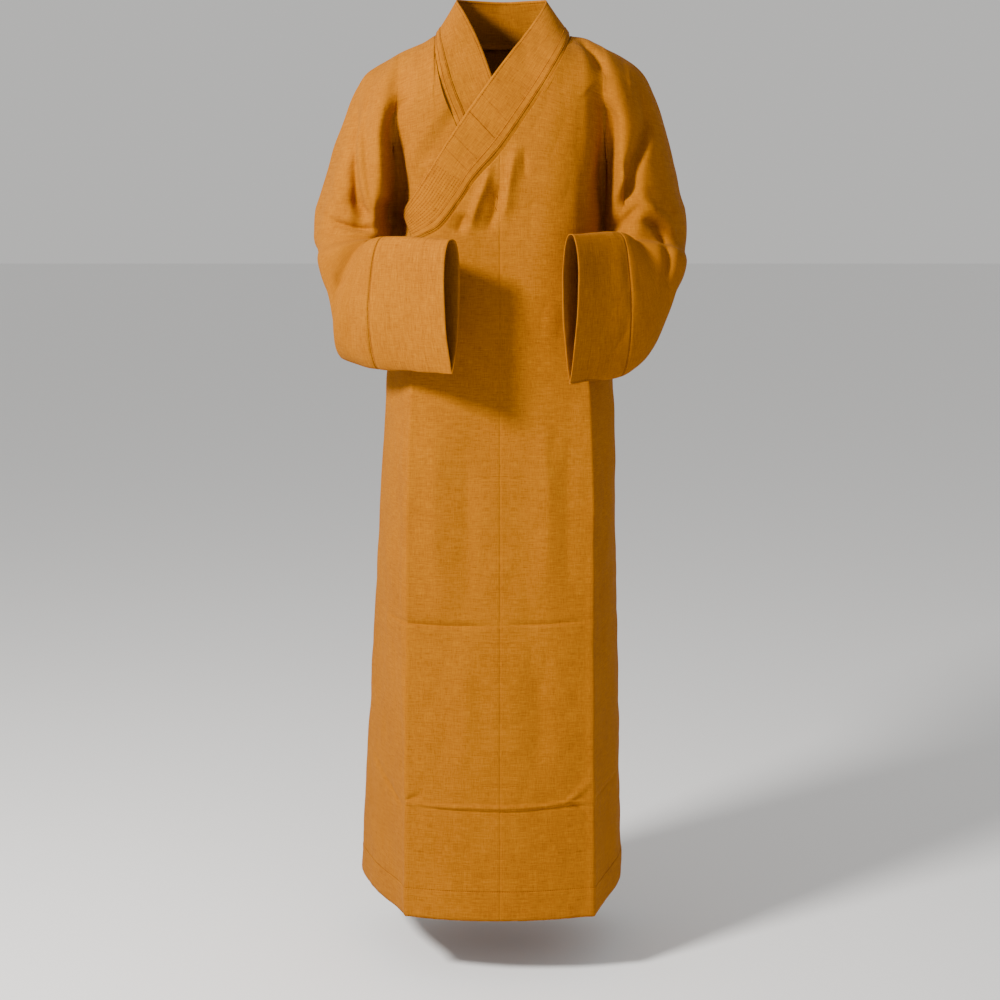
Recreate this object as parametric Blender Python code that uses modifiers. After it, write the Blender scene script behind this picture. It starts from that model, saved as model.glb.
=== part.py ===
"""A long wrap-over robe with a banded cross collar and wide sleeves, worn with the forearms folded in front.

Metres, +Z up. The front faces -Y. The origin is where the robe hangs from the shoulders: the middle of the
neck, level with the points where the collar meets the shoulders. +X is the wearer's left.
All the cloth is one hollow body: a mantle of a front and a back sheet that meet over the shoulders and down
the outside of the arms, two sleeve tubes that turn forward at the elbows, and a skirt tube down to the hem.
"""
import functools
import math

import bmesh
import bpy
import numpy as np

NAME = "buddhist_monk_robe"

# driving sizes
WALL = 0.0016          # cloth
SEAM = 0.0003          # gap between pieces that are sewn together
COLLAR_WIDTH = 0.070
NECK_NEAR = 0.0005     # a column this close to the shoulder corner ends at it
COLLAR_GAP = 0.0028    # the collar turns up from the fronts at its seam, so its edge starts a wall away
UNDERARM_Z = -0.300    # the mantle ends and the sleeves and skirt begin
HEM_Z = -1.330
UNDERLAP = 0.0060      # how far the covered front lies inside the outer one
RIM = 0.0022           # how far a strip that lies on a panel stands off it
SLEEVE_END = 0.110     # length of the piece sewn to the end of each sleeve
TIP_Z = -0.060         # height of the shoulder tip
PINCH_TOP_X = 0.150    # the armpit fold at the shoulder
SHOULDER_ROUND = 0.095 # how far down the sheets round over the shoulder
CREASE = 0.8           # how sharp the pressed creases are, 0 to 1
HOLLOW = 1.6           # how late the sheets fall in toward the underarm
CUFF_FLAT = 0.5        # how much thinner the pressed lower edge of a cuff is
ARM_ROUND_C = 1.30     # across the mantle, from where the sheets round over the arm's outside
CREASE_TOP_Z = -0.340  # the pressed creases of the front fade in below this height
CREASE_FADE = 0.16
FOLD_TOP = 0.4         # share of a fold's depth at its top
NECK_DIP = 0.012       # how far the neck seam dips at the centre back
SLEEVE_TURN_ROWS = 1.3 # sleeve rows over which the hanging arm turns into the forearm
SLEEVE_DROP = 0.05     # how far the elbow's outside hangs for each of those rows
UNDERLAP_TOP = 0.012   # height over which the covered front's side moves in, below the underarm
UNDERLAP_BACK_T = 2.34 # station where the covered side starts to come out again, and over how many
UNDERLAP_BACK_RUN = 0.4
UNDERLAP_ARM = 0.15    # the same past the armpit fold
SIDE_T = 2.0           # ring station of the side; 0 is the centre front and 4 the centre back
FRONT_PINCH_T = 1.70
BACK_PINCH_T = 2.30

LEFT = 1               # the wearer's left, +X
RIGHT = -1

# outline of shoulder and upper arm from the front: height, half width on each side
OUTLINE = (
    # z,     left,   right
    (0.030, 0.000, 0.000),
    (0.022, 0.050, 0.048),
    (0.011, 0.080, 0.076),
    (0.000, 0.106, 0.096),
    (-0.004, 0.127, 0.103),
    (-0.010, 0.141, 0.113),
    (-0.022, 0.165, 0.143),
    (-0.034, 0.187, 0.165),
    (-0.046, 0.205, 0.185),
    (-0.060, 0.218, 0.203),
    (-0.085, 0.231, 0.219),
    (-0.120, 0.245, 0.233),
    (-0.175, 0.260, 0.255),
    (-0.230, 0.273, 0.273),
    (-0.270, 0.286, 0.285),
    (-0.300, 0.289, 0.291),
)

# depth of the front and back sheets across the mantle. across: 0 centre, 1 armpit fold, 2 outside of the arm.
# Up to the armpit fold the bottom is the body's own section at the underarm
MANTLE = (
    # across, front chest, front bottom, back chest, back bottom
    (0.00, 0.116, 0.124, 0.106, 0.118),
    (0.40, 0.116, 0.123, 0.110, 0.117),
    (0.80, 0.110, 0.110, 0.108, 0.104),
    (1.00, 0.096, 0.052, 0.098, 0.052),
    (1.25, 0.100, 0.098, 0.100, 0.098),
    (1.60, 0.088, 0.092, 0.098, 0.104),
    (2.00, 0.080, 0.085, 0.090, 0.100),
)

# horizontal sections of the body from the underarm to the hem. shift moves the sides and back toward +X
BODY = (
    # z,  shift, front x, front y, centre y, side x, side y, back x, back y, centre back y
    (-0.300, 0.000, 0.112, -0.110, -0.124, 0.162, 0.000, 0.112, 0.104, 0.118),
    (-0.400, 0.000, 0.116, -0.111, -0.122, 0.163, 0.004, 0.112, 0.106, 0.114),
    (-0.520, 0.000, 0.132, -0.115, -0.124, 0.174, 0.014, 0.118, 0.112, 0.116),
    (-0.760, -0.004, 0.140, -0.121, -0.130, 0.186, 0.038, 0.126, 0.130, 0.137),
    (-1.000, -0.008, 0.142, -0.124, -0.138, 0.198, 0.060, 0.134, 0.147, 0.158),
    (-1.200, -0.012, 0.143, -0.125, -0.145, 0.208, 0.078, 0.140, 0.162, 0.174),
    (-1.330, -0.013, 0.144, -0.125, -0.149, 0.213, 0.088, 0.143, 0.171, 0.184),
)

# sleeve sections from the level of the elbow to the cuff: the ring's inner or upper point, how far its long
# axis has turned from level to hanging, its length and its thickness
SLEEVE = {
    LEFT: (
        # x,     y,      z,    turn, long, thick
        (0.180, -0.084, -0.300, 0, 0.118, 0.145),
        (0.182, -0.090, -0.300, 15, 0.118, 0.138),
        (0.184, -0.095, -0.299, 45, 0.118, 0.122),
        (0.184, -0.100, -0.297, 63, 0.148, 0.098),
        (0.183, -0.114, -0.294, 77, 0.184, 0.078),
        (0.175, -0.133, -0.291, 86, 0.202, 0.062),
        (0.146, -0.160, -0.288, 90, 0.214, 0.050),
        (0.100, -0.203, -0.289, 90, 0.216, 0.042),
    ),
    RIGHT: (
        (0.180, -0.084, -0.300, 0, 0.113, 0.145),
        (0.182, -0.090, -0.301, 18, 0.100, 0.138),
        (0.183, -0.094, -0.302, 50, 0.112, 0.118),
        (0.182, -0.098, -0.301, 65, 0.156, 0.098),
        (0.182, -0.113, -0.299, 70, 0.194, 0.082),
        (0.174, -0.131, -0.297, 82, 0.192, 0.064),
        (0.134, -0.164, -0.295, 90, 0.192, 0.050),
        (0.068, -0.211, -0.297, 90, 0.192, 0.042),
    ),
}
FOREARM = (-0.72, -0.70)   # heading in plan, toward the middle and forward
CUFF_SEAM = 5.3        # the row where the sleeve end is sewn on

# largest folds: side, front or back, path down the sheet, half width and depth
FOLDS = (
    # side, sheet, top x, top z, low x, low z, width, depth
    (RIGHT, "front", 0.150, -0.100, 0.150, -0.290, 0.011, 0.018),
    (LEFT, "front", 0.160, -0.110, 0.156, -0.290, 0.012, 0.020),
    (RIGHT, "front", 0.217, -0.110, 0.202, -0.290, 0.012, 0.016),
    (LEFT, "front", 0.220, -0.120, 0.180, -0.285, 0.012, 0.016),
    (RIGHT, "back", 0.150, -0.110, 0.154, -0.290, 0.014, 0.020),
    (LEFT, "back", 0.152, -0.120, 0.158, -0.290, 0.014, 0.020),
)

# the collar's seam with the fronts, down from the shoulder: x across the robe, height
OUTER_NECK = ((0.106, 0.000), (0.094, -0.030), (0.066, -0.080), (0.033, -0.130), (0.000, -0.176),
              (-0.038, -0.218), (-0.058, -0.248), (-0.092, -0.288), (-0.150, -0.310))
INNER_NECK = ((-0.096, 0.000), (-0.0945, -0.030), (-0.084, -0.085), (-0.064, -0.135), (-0.030, -0.220),
              (0.000, -0.285))


# the collar from its hidden end inside the left front, round the neck, to its end on the right side
COLLAR = (
    # seam x, edge x, edge y, edge z, laid on the chest, inset
    (0.000, 0.045, -0.110, -0.215, 1.0, 1.0),
    (-0.036, 0.016, -0.108, -0.135, 1.0, 1.0),
    (-0.064, -0.010, -0.094, -0.070, 0.8, 1.0),
    (-0.084, -0.026, -0.082, -0.026, 0.4, 0.6),
    (-0.091, -0.042, -0.064, 0.010, 0.1, 0.2),
    (-0.0945, -0.054, -0.042, 0.032, 0.0, 0.0),
    (-0.096, -0.064, -0.010, 0.049, 0.0, 0.0),
    (-0.088, -0.063, 0.022, 0.053, 0.0, 0.0),
    (-0.050, -0.040, 0.048, 0.054, 0.0, 0.0),
    (0.000, 0.003, 0.058, 0.053, 0.0, 0.0),
    (0.054, 0.046, 0.048, 0.054, 0.0, 0.0),
    (0.096, 0.068, 0.022, 0.053, 0.0, 0.0),
    (0.106, 0.069, -0.010, 0.049, 0.0, 0.0),
    (0.094, 0.057, -0.042, 0.026, 0.0, 0.0),
    (0.078, 0.036, -0.068, -0.004, 0.2, 0.0),
    (0.050, 0.010, -0.092, -0.038, 0.6, 0.0),
    (0.020, -0.020, -0.104, -0.078, 1.0, 0.0),
    (-0.020, -0.058, -0.112, -0.131, 1.0, 0.0),
    (-0.058, -0.094, -0.115, -0.185, 1.0, 0.0),
    (-0.092, -0.122, -0.112, -0.228, 1.0, -0.2),
    (-0.128, -0.147, -0.105, -0.262, 1.0, -0.5),
)
RIGHT_CORNER = 6       # the rows where the collar passes from the fronts to the back
LEFT_CORNER = 12
STOP_NEAR = 0.02       # stops closer than this are one
COLLAR_ACROSS = (0.0, 0.21, 0.6, 1.0)
BORDER_ACROSS = (0.075, 0.24)

# grids of the coarse cloth
BODY_C = (0.0, 0.21, 0.42, 0.57, 0.70, 0.80, 0.91, 1.0)
SIDES_T = (1.70, 1.85, 2.0, 2.15, 2.30)
ARM_C = (1.0, 1.08, 1.20, 1.38, 1.58, 1.76, 1.90, 1.97, 2.0)
DOWN = (0.0, 0.03, 0.09, 0.17, 0.27, 0.39, 0.52, 0.66, 0.80, 0.91, 1.0)
SKIRT_Z = (UNDERARM_Z, -0.316, -0.340, -0.400, -0.470, -0.560, -0.670, -0.790, -0.910, -1.030, -1.150, -1.250,
           HEM_Z)
SLEEVE_ROWS = (0.0, 0.45, 0.9, 1.4, 2.0, 2.6, 3.2, 3.9, 4.6, CUFF_SEAM)
SLEEVE_END_ROWS = (CUFF_SEAM, 5.6, 6.0, 6.5, 7.0)
OVERLAP_SIDE_Z = -0.345      # top of the overlap's edge where it passes under the arm
OVERLAP_SIDE_T = (1.85, 2.05, 2.25)


def spline(xs, ys, at):
    """Monotone cubic through (xs, ys), so that a table is read smoothly and never overshoots."""
    xs = np.asarray(xs, float)
    ys = np.asarray(ys, float)
    step = np.diff(xs)
    slope = np.diff(ys) / step
    tangent = np.zeros(len(xs))
    tangent[0] = slope[0]
    tangent[-1] = slope[-1]
    for k in range(1, len(xs) - 1):
        if slope[k - 1] * slope[k] > 0:
            tangent[k] = 2 * slope[k - 1] * slope[k] / (slope[k - 1] + slope[k])
    at = min(max(at, xs[0]), xs[-1])
    k = min(int(np.searchsorted(xs, at, side="right")) - 1, len(step) - 1)
    t = (at - xs[k]) / step[k]
    a = (1 + 2 * t) * (1 - t) ** 2
    b = t * (1 - t) ** 2
    c = t * t * (3 - 2 * t)
    d = t * t * (t - 1)
    return a * ys[k] + b * step[k] * tangent[k] + c * ys[k + 1] + d * step[k] * tangent[k + 1]


def column(table, key, value, at):
    """Reads one column of a table at a value of its key column."""
    rows = sorted(table, key=lambda row: row[key])
    return spline([row[key] for row in rows], [row[value] for row in rows], at)


def ease(t):
    t = min(max(t, 0.0), 1.0)
    return t * t * (3 - 2 * t)


def outline_x(side, z):
    return column(OUTLINE, 0, 1 if side == LEFT else 2, z)


def shoulder_z(side, x):
    return column(OUTLINE, 1 if side == LEFT else 2, 0, x)


@functools.lru_cache(maxsize=None)
def body_row(z):
    return [column(BODY, 0, k, z) for k in range(1, 10)]


def ring(side, z, t):
    """A point on the body's section at height z: station t runs from the centre front to the centre back."""
    shift, fx, fy, cfy, sx, sy, bx, by, cby = body_row(z)
    off = side * shift
    posts = [np.array(post) for post in ((-fx, fy), (0.0, cfy), (fx, fy), (sx + off, sy), (bx + off, by),
                                         (off, cby), (off - bx, by))]
    k = min(int(t), 3)
    u = t - k
    before, start, end, after = posts[k:k + 4]
    lead = (end - before) * 0.5
    tail = (after - start) * 0.5
    crisp = CREASE * ease((CREASE_TOP_Z - z) / CREASE_FADE)
    if k == 0:
        tail = tail * (1 - crisp) + (end - start) * crisp
    if k == 1:
        lead = lead * (1 - crisp) + (end - start) * crisp
    at = ((2 * u ** 3 - 3 * u ** 2 + 1) * start + (u ** 3 - 2 * u ** 2 + u) * lead
          + (3 * u ** 2 - 2 * u ** 3) * end + (u ** 3 - u ** 2) * tail)
    return np.array((side * at[0], at[1], z))


@functools.lru_cache(maxsize=None)
def pinch_low():
    return abs(ring(LEFT, UNDERARM_Z, FRONT_PINCH_T)[0])


def pinch_x(z):
    low = pinch_low()
    share = ease((TIP_Z - z) / (TIP_Z - UNDERARM_Z))
    return PINCH_TOP_X + (low - PINCH_TOP_X) * share


def across(side, x, z):
    """0 at the centre, 1 at the armpit fold, 2 at the outline."""
    middle = pinch_x(z)
    if x <= middle:
        return x / middle
    if x > outline_x(side, z) - 1e-5:
        return 2.0
    return 1 + (x - middle) / (outline_x(side, z) - middle)


def fold_depth(side, sheet, x, z):
    total = 0.0
    for row in FOLDS:
        if row[0] != side or row[1] != sheet:
            continue
        a = np.array(row[2:4])
        b = np.array(row[4:6])
        p = np.array((x, z))
        t = min(max(np.dot(p - a, b - a) / np.dot(b - a, b - a), 0.0), 1.0)
        gap = np.linalg.norm(p - a - t * (b - a))
        total += row[7] * math.exp(-(gap / row[6]) ** 2) * (FOLD_TOP + (1 - FOLD_TOP) * t)
    return total


def sheet_y(side, sheet, x, z):
    """How far forward or back the front or back sheet of the mantle lies at x (from the centre) and z."""
    c = across(side, x, z)
    top = shoulder_z(side, x)
    down = max(top - z, 0.0)
    share = ease(down / max(top - UNDERARM_Z, 1e-6))
    first = 1 if sheet == "front" else 3
    chest = column(MANTLE, 0, first, c)
    low = column(MANTLE, 0, first + 1, c)
    if c <= 1:
        low = body_depth(sheet, c)
    depth = chest + (low - chest) * share ** HOLLOW
    over = math.sqrt(max(1 - (1 - min(down / SHOULDER_ROUND, 1.0)) ** 2, 0.0))
    out = math.sqrt(max(1 - max((c - ARM_ROUND_C) / (2 - ARM_ROUND_C), 0.0) ** 2, 0.0))
    depth = (depth - fold_depth(side, sheet, x, z) * share) * over * out
    ridge = 0.008 + 0.020 * ease(-z / 0.3)
    sign = -1 if sheet == "front" else 1
    return sign * depth + ridge * (1 - over * out)


@functools.lru_cache(maxsize=None)
def underarm_section(sheet):
    first = 0.0 if sheet == "front" else BACK_PINCH_T
    last = FRONT_PINCH_T if sheet == "front" else 4.0
    points = [ring(LEFT, UNDERARM_Z, first + (last - first) * k / 40) for k in range(41)]
    points.sort(key=lambda p: p[0])
    return [p[0] for p in points], [abs(p[1]) for p in points]


def body_depth(sheet, c):
    """The section at the underarm, as a depth at a share of the way to the armpit fold."""
    xs, depths = underarm_section(sheet)
    return float(np.interp(c * pinch_low(), xs, depths))


def place(side, c, v, sheet):
    """A point of the mantle: c across, from the centre to the outside of the arm, and v down, 0 to 1."""
    inner = min(c, 1.0)
    inner_top = shoulder_z(side, inner * PINCH_TOP_X)
    inner_z = inner_top + (UNDERARM_Z - inner_top) * v
    x = inner * pinch_x(inner_z)
    z = inner_z
    if c > 1:
        outer_z = TIP_Z + (UNDERARM_Z - TIP_Z) * v
        x += (c - 1) * (outline_x(side, outer_z) - x)
        z += (c - 1) * (outer_z - z)
        top_x = PINCH_TOP_X + (c - 1) * (outline_x(side, TIP_Z) - PINCH_TOP_X)
        top_z = inner_top + (c - 1) * (TIP_Z - inner_top)
        z += (shoulder_z(side, top_x) - top_z) * (1 - v) ** 3
    return on_sheet(side, sheet, x, z)


def neck_point(side, sheet, c):
    """Where the neck seam crosses a column of the mantle: its x and z."""
    x = c * PINCH_TOP_X
    for _ in range(6):
        x = c * pinch_x(neck_cut(side, sheet, x))
    return x, neck_cut(side, sheet, x)


def on_sheet(side, sheet, x, z):
    return np.array((side * x, sheet_y(side, sheet, x, z), z))


def neck_z(line, x):
    """Height of a neck seam at x across the robe, highest beyond its ends."""
    points = sorted(line)
    return spline([p[0] for p in points], [p[1] for p in points], x)


def station_c(t):
    """How far across the mantle a body station lies, 0 to 1."""
    return abs(ring(LEFT, UNDERARM_Z, t)[0]) / pinch_low()


def body_point(side, t, z):
    """The outer surface at a body station t, above the underarm as well as below it."""
    if z <= UNDERARM_Z:
        return ring(side, z, t)
    sheet = "front" if t < SIDE_T else "back"
    return on_sheet(side, sheet, station_c(t) * pinch_x(z), z)


def sleeve_axes(side):
    """The forearm's heading in plan, and the direction square to it that faces forward."""
    inward = np.array((FOREARM[0] * side, FOREARM[1], 0.0))
    inward = inward / np.linalg.norm(inward)
    outward = np.array((-inward[1], inward[0], 0.0))
    if outward[1] > 0:
        outward = -outward
    return inward, outward


def sleeve_point(side, row, angle):
    """A point on the sleeve at a row (0 at the elbow's level, 7 at the cuff) and an angle round it."""
    table = [(k,) + line for k, line in enumerate(SLEEVE[side])]
    x, y, z, turn, length, thick = [column(table, 0, k, row) for k in range(1, 7)]
    inward, outward = sleeve_axes(side)
    turn = math.radians(turn)
    along = -inward * math.cos(turn) - np.array((0.0, 0.0, 1.0)) * math.sin(turn)
    low = (1 - math.cos(angle)) / 2
    thick *= 1 - CUFF_FLAT * ease((row - 4.0) / 3.0) * low
    flat = 0.75 + 0.25 * math.cos(turn) + 0.45 * ease((row - 3.0) / 3.0) * low
    wide = math.copysign(abs(math.sin(angle)) ** flat, math.sin(angle))
    return (np.array((side * x, y, z)) + along * length * (1 - math.cos(angle)) / 2
            + outward * thick / 2 * wide)


def angle_round(side, point, centre):
    inward, outward = sleeve_axes(side)
    offset = point - centre
    return math.atan2(float(np.dot(offset, outward)), float(np.dot(offset, inward)))


class Cloth:
    """An open sheet: grids of points, welded where they share an edge, then thickened about their middle."""

    def __init__(self, name):
        self.name = name
        self.mesh = bmesh.new()
        self.inset = self.mesh.verts.layers.float.new("inset")

    def grid(self, rows, flip=False):
        """rows is a list of rows of (point, inset). Inset moves a point inward, under what covers it."""
        made = []
        for row in rows:
            line = []
            for point, inset in row:
                vert = self.mesh.verts.new(point)
                vert[self.inset] = inset
                line.append(vert)
            made.append(line)
        for low, high in zip(made, made[1:]):
            for k in range(len(low) - 1):
                corners = (low[k], low[k + 1], high[k + 1], high[k])
                self.mesh.faces.new(tuple(reversed(corners)) if flip else corners)

    def finish(self, colour, collection, wall=WALL):
        bmesh.ops.remove_doubles(self.mesh, verts=self.mesh.verts[:], dist=2e-5)
        bmesh.ops.dissolve_degenerate(self.mesh, edges=self.mesh.edges[:], dist=1e-5)
        bmesh.ops.recalc_face_normals(self.mesh, faces=self.mesh.faces[:])
        self.mesh.normal_update()
        moves = [(vert, vert.normal * vert[self.inset]) for vert in self.mesh.verts]
        for vert, move in moves:
            vert.co -= move
        data = bpy.data.meshes.new(self.name)
        self.mesh.to_mesh(data)
        self.mesh.free()
        data.shade_smooth()
        obj = bpy.data.objects.new(self.name, data)
        collection.objects.link(obj)
        solid = obj.modifiers.new("wall", "SOLIDIFY")
        solid.thickness = wall
        solid.offset = 0.0
        solid.use_even_offset = False
        solid.use_quality_normals = True
        obj.data.materials.append(colour)
        return obj


def neck_corner(side):
    return outline_x(side, 0.0)


def covered(x, z):
    """How far the outer front and its collar cover a point of the right front: 0 bare, 1 covered."""
    start = np.array((0.012, -0.036))
    end = np.array((-0.125, -0.228))
    run = (end - start) / np.linalg.norm(end - start)
    below = float(np.dot(np.array((x, z)) - start, (-run[1], run[0])))
    return ease((below + 0.036) / 0.025)


def front_inset(side, point, c):
    if side == LEFT:
        return 0.0
    return UNDERLAP * covered(point[0], point[2]) * (1 - ease((c - 1.0) / UNDERLAP_ARM))


def skirt_inset(side, t, z):
    if side == LEFT:
        return 0.0
    low = ease((UNDERARM_Z - z) / UNDERLAP_TOP) if t > FRONT_PINCH_T else 1.0
    return UNDERLAP * low * (1 - ease((t - UNDERLAP_BACK_T) / UNDERLAP_BACK_RUN))


def neck_cut(side, sheet, x):
    """Height of the neck seam on a sheet, down from the shoulder."""
    if x >= neck_corner(side):
        return shoulder_z(side, x)
    if sheet == "back":
        return -NECK_DIP * (1 - (x / neck_corner(side)) ** 2)
    line = OUTER_NECK if side == LEFT else INNER_NECK
    return neck_z(line, side * x)


@functools.lru_cache(maxsize=None)
def station_at(sheet, c):
    """The body station on the front or the back that lies a share c of the way to the armpit fold."""
    middle, edge = (0.0, FRONT_PINCH_T) if sheet == "front" else (4.0, BACK_PINCH_T)
    if c in (0.0, 1.0):
        return edge if c else middle
    for _ in range(50):
        half = (middle + edge) / 2
        if station_c(half) < c:
            middle = half
        else:
            edge = half
    return half


@functools.lru_cache(maxsize=None)
def body_columns(side):
    """How far across the columns lie, with one moved to the shoulder corner of the neck."""
    corner = neck_corner(side) / PINCH_TOP_X
    nearest = min(BODY_C, key=lambda c: abs(c - corner))
    return tuple(corner if c == nearest else c for c in BODY_C)


def mantle_columns(side, sheet):
    columns = [(c, station_at(sheet, c)) for c in body_columns(side)]
    return columns + [(c, None) for c in ARM_C[1:]]


def mantle_grid(side, sheet):
    rows = []
    columns = mantle_columns(side, sheet)
    for step in DOWN:
        row = []
        for c, t in columns:
            first = 0.0
            if c * PINCH_TOP_X < neck_corner(side) - NECK_NEAR:
                top = shoulder_z(side, c * PINCH_TOP_X)
                first = (top - neck_point(side, sheet, c)[1]) / (top - UNDERARM_Z)
            v = first + (1 - first) * step
            point = edge_point(side, c, t, sheet) if step == 1.0 else place(side, c, v, sheet)
            inset = front_inset(side, point, c) if sheet == "front" else 0.0
            row.append((seam_shift(side, point, t), inset))
        rows.append(row)
    return rows


def edge_point(side, c, t, sheet):
    """The mantle's bottom edge, which is also the top of the skirt and of the sleeve."""
    if t is not None:
        return ring(side, UNDERARM_Z, t)
    return place(side, c, 1.0, sheet)


def seam_shift(side, point, t):
    """Opens half of a seam's gap at the centre front and the centre back."""
    if t in (0.0, 4.0):
        return point + np.array((side * SEAM / 2, 0.0, 0.0))
    return point


def skirt_grid(side):
    columns = [station_at("front", c) for c in body_columns(side)] + list(SIDES_T[1:-1])
    columns += [station_at("back", c) for c in reversed(body_columns(side))]
    rows = []
    for z in SKIRT_Z:
        row = []
        for t in columns:
            point = ring(side, z, t)
            row.append((seam_shift(side, point, t), skirt_inset(side, t, z)))
        rows.append(row)
    return rows


def sleeve_ring(side):
    """The points of the sleeve's first ring, in order, each with its angle round the ring."""
    points = [(edge_point(side, 1.0, FRONT_PINCH_T, "front"), 1.0)]
    points += [(place(side, c, 1.0, "front"), c) for c in ARM_C[1:]]
    points += [(place(side, c, 1.0, "back"), c) for c in ARM_C[-2:0:-1]]
    points += [(ring(side, UNDERARM_Z, t), 1.0) for t in SIDES_T[:0:-1]]
    centre = sleeve_point(side, 0.0, 0.0) / 2 + sleeve_point(side, 0.0, math.pi) / 2
    return [(point, c, angle_round(side, point, centre)) for point, c in points]


def sleeve_rows(side, levels):
    start = sleeve_ring(side)
    rows = []
    for level in levels:
        row = []
        share = ease(level / SLEEVE_TURN_ROWS)
        for point, c, angle in start:
            drop = SLEEVE_DROP * level * ((1 - math.cos(angle)) / 2) ** 1.5
            hung = point - np.array((0.0, 0.0, drop))
            settled = sleeve_point(side, level, angle)
            inset = front_inset(side, point, c) * (1 - share)
            if level == 0.0:
                inset = front_inset(side, point, c) if point[1] < 0 else 0.0
            row.append((hung * (1 - share) + settled * share, inset))
        row.append(row[0])
        rows.append(row)
    return rows


def build_body(side, colour, collection):
    cloth = Cloth("body_left" if side == LEFT else "body_right")
    for sheet in ("front", "back"):
        cloth.grid(mantle_grid(side, sheet))
    cloth.grid(skirt_grid(side))
    cloth.grid(sleeve_rows(side, SLEEVE_ROWS))
    return cloth.finish(colour, collection)


def build_sleeve_end(side, colour, collection):
    cloth = Cloth("sleeve_end_left" if side == LEFT else "sleeve_end_right")
    gap = 2 * SEAM / SLEEVE_END * (SLEEVE_END_ROWS[-1] - CUFF_SEAM)
    levels = [CUFF_SEAM + gap] + list(SLEEVE_END_ROWS[1:])
    cloth.grid(sleeve_rows(side, levels))
    return cloth.finish(colour, collection)


def overlap_columns():
    return [station_at("front", c) for c in body_columns(RIGHT)[:-1]] + list(OVERLAP_SIDE_T)


def build_overlap(colour, collection):
    cloth = Cloth("front_overlap")
    rows = []
    below = [z for z in SKIRT_Z if z <= OVERLAP_SIDE_Z - 0.03]
    for step in (0.0, 0.3, 0.65):
        tops = [(t, overlap_top(t)) for t in overlap_columns()]
        rows.append([overlap_point(t, top + (below[0] - top) * step) for t, top in tops])
    for z in below:
        rows.append([overlap_point(t, z) for t in overlap_columns()])
    cloth.grid(rows)
    return cloth.finish(colour, collection)


def overlap_neck(t):
    """Where the overlap's top edge crosses station t: its x and z."""
    c = station_c(t)
    z = UNDERARM_Z
    for _ in range(8):
        z = neck_z(OUTER_NECK, -c * pinch_x(max(z, UNDERARM_Z)))
    return -c * pinch_x(max(z, UNDERARM_Z)), z


def overlap_top(t):
    if t < FRONT_PINCH_T:
        return overlap_neck(t)[1]
    return OVERLAP_SIDE_Z


def overlap_point(t, z):
    return seam_shift(RIGHT, body_point(RIGHT, t, z), t), 0.0


def collar_row(at):
    """The collar table read smoothly between its rows."""
    return [spline(range(len(COLLAR)), [row[k] for row in COLLAR], at) for k in range(6)]


def collar_stop(x, low, high):
    """The station between two rows where the collar's seam is at x."""
    rising = collar_row(high)[0] > collar_row(low)[0]
    for _ in range(40):
        middle = (low + high) / 2
        if (collar_row(middle)[0] < x) == rising:
            low = middle
        else:
            high = middle
    return (low + high) / 2


def collar_stops():
    """Stations along the collar: one at each column of the sheets that it is sewn to."""
    stops = [0.0, RIGHT_CORNER, LEFT_CORNER, len(COLLAR) - 1.0]
    for side, sheet, low, high in ((RIGHT, "front", 0.0, RIGHT_CORNER), (RIGHT, "back", RIGHT_CORNER, 9.0),
                                   (LEFT, "back", 9.0, LEFT_CORNER), (LEFT, "front", LEFT_CORNER, 17.0)):
        for c in body_columns(side):
            if c * PINCH_TOP_X < neck_corner(side) - NECK_NEAR:
                stops.append(collar_stop(side * neck_point(side, sheet, c)[0], low, high))
    for t in overlap_columns():
        x = overlap_neck(t)[0] if t < FRONT_PINCH_T else COLLAR[-1][0]
        if x > COLLAR[-1][0] + NECK_NEAR:
            stops.append(collar_stop(x, 15.0, len(COLLAR) - 1.0))
    stops.sort()
    return [at for k, at in enumerate(stops) if k == 0 or at - stops[k - 1] > STOP_NEAR]


def collar_seam(at):
    seam_x = collar_row(at)[0]
    side = LEFT if seam_x >= 0 and at > 1 else RIGHT
    if at >= LEFT_CORNER:
        return on_sheet(side, "front", abs(seam_x), neck_z(OUTER_NECK, seam_x))
    if at <= RIGHT_CORNER:
        return on_sheet(side, "front", abs(seam_x), neck_z(INNER_NECK, seam_x))
    return on_sheet(side, "back", abs(seam_x), neck_cut(side, "back", abs(seam_x)))


def collar_point(at, share):
    """A point of the collar band: share 0 at its seam with the fronts, 1 at its free edge."""
    laid, inset = collar_row(at)[4:]
    base = collar_seam(at)
    edge = np.array(collar_row(at)[1:4])
    point = base + (edge - base) * share
    if laid > 0 and share > 0:
        near = LEFT if point[0] >= 0 else RIGHT
        chest = sheet_y(near, "front", abs(point[0]), point[2])
        point[1] += (chest - point[1]) * laid
    return point + np.array((0.0, UNDERLAP * inset, 0.0))


def build_collar(colour, collection):
    cloth = Cloth("collar_band")
    gap = COLLAR_GAP / COLLAR_WIDTH
    rows = [[(collar_point(at, max(share, gap)), 0.0) for share in COLLAR_ACROSS] for at in collar_stops()]
    cloth.grid(rows)
    return cloth.finish(colour, collection)


def build_border(colour, collection):
    cloth = Cloth("collar_border")
    rows = [[(collar_point(at, share), -RIM - WALL / 2) for share in BORDER_ACROSS] for at in collar_stops()]
    cloth.grid(rows)
    return cloth.finish(colour, collection, WALL * 0.7)


def material(name, colour):
    made = bpy.data.materials.new(name)
    made.use_nodes = True
    shader = made.node_tree.nodes["Principled BSDF"]
    shader.inputs["Base Color"].default_value = (*colour, 1.0)
    shader.inputs["Roughness"].default_value = 0.9
    shader.inputs["Metallic"].default_value = 0.0
    return made


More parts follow.
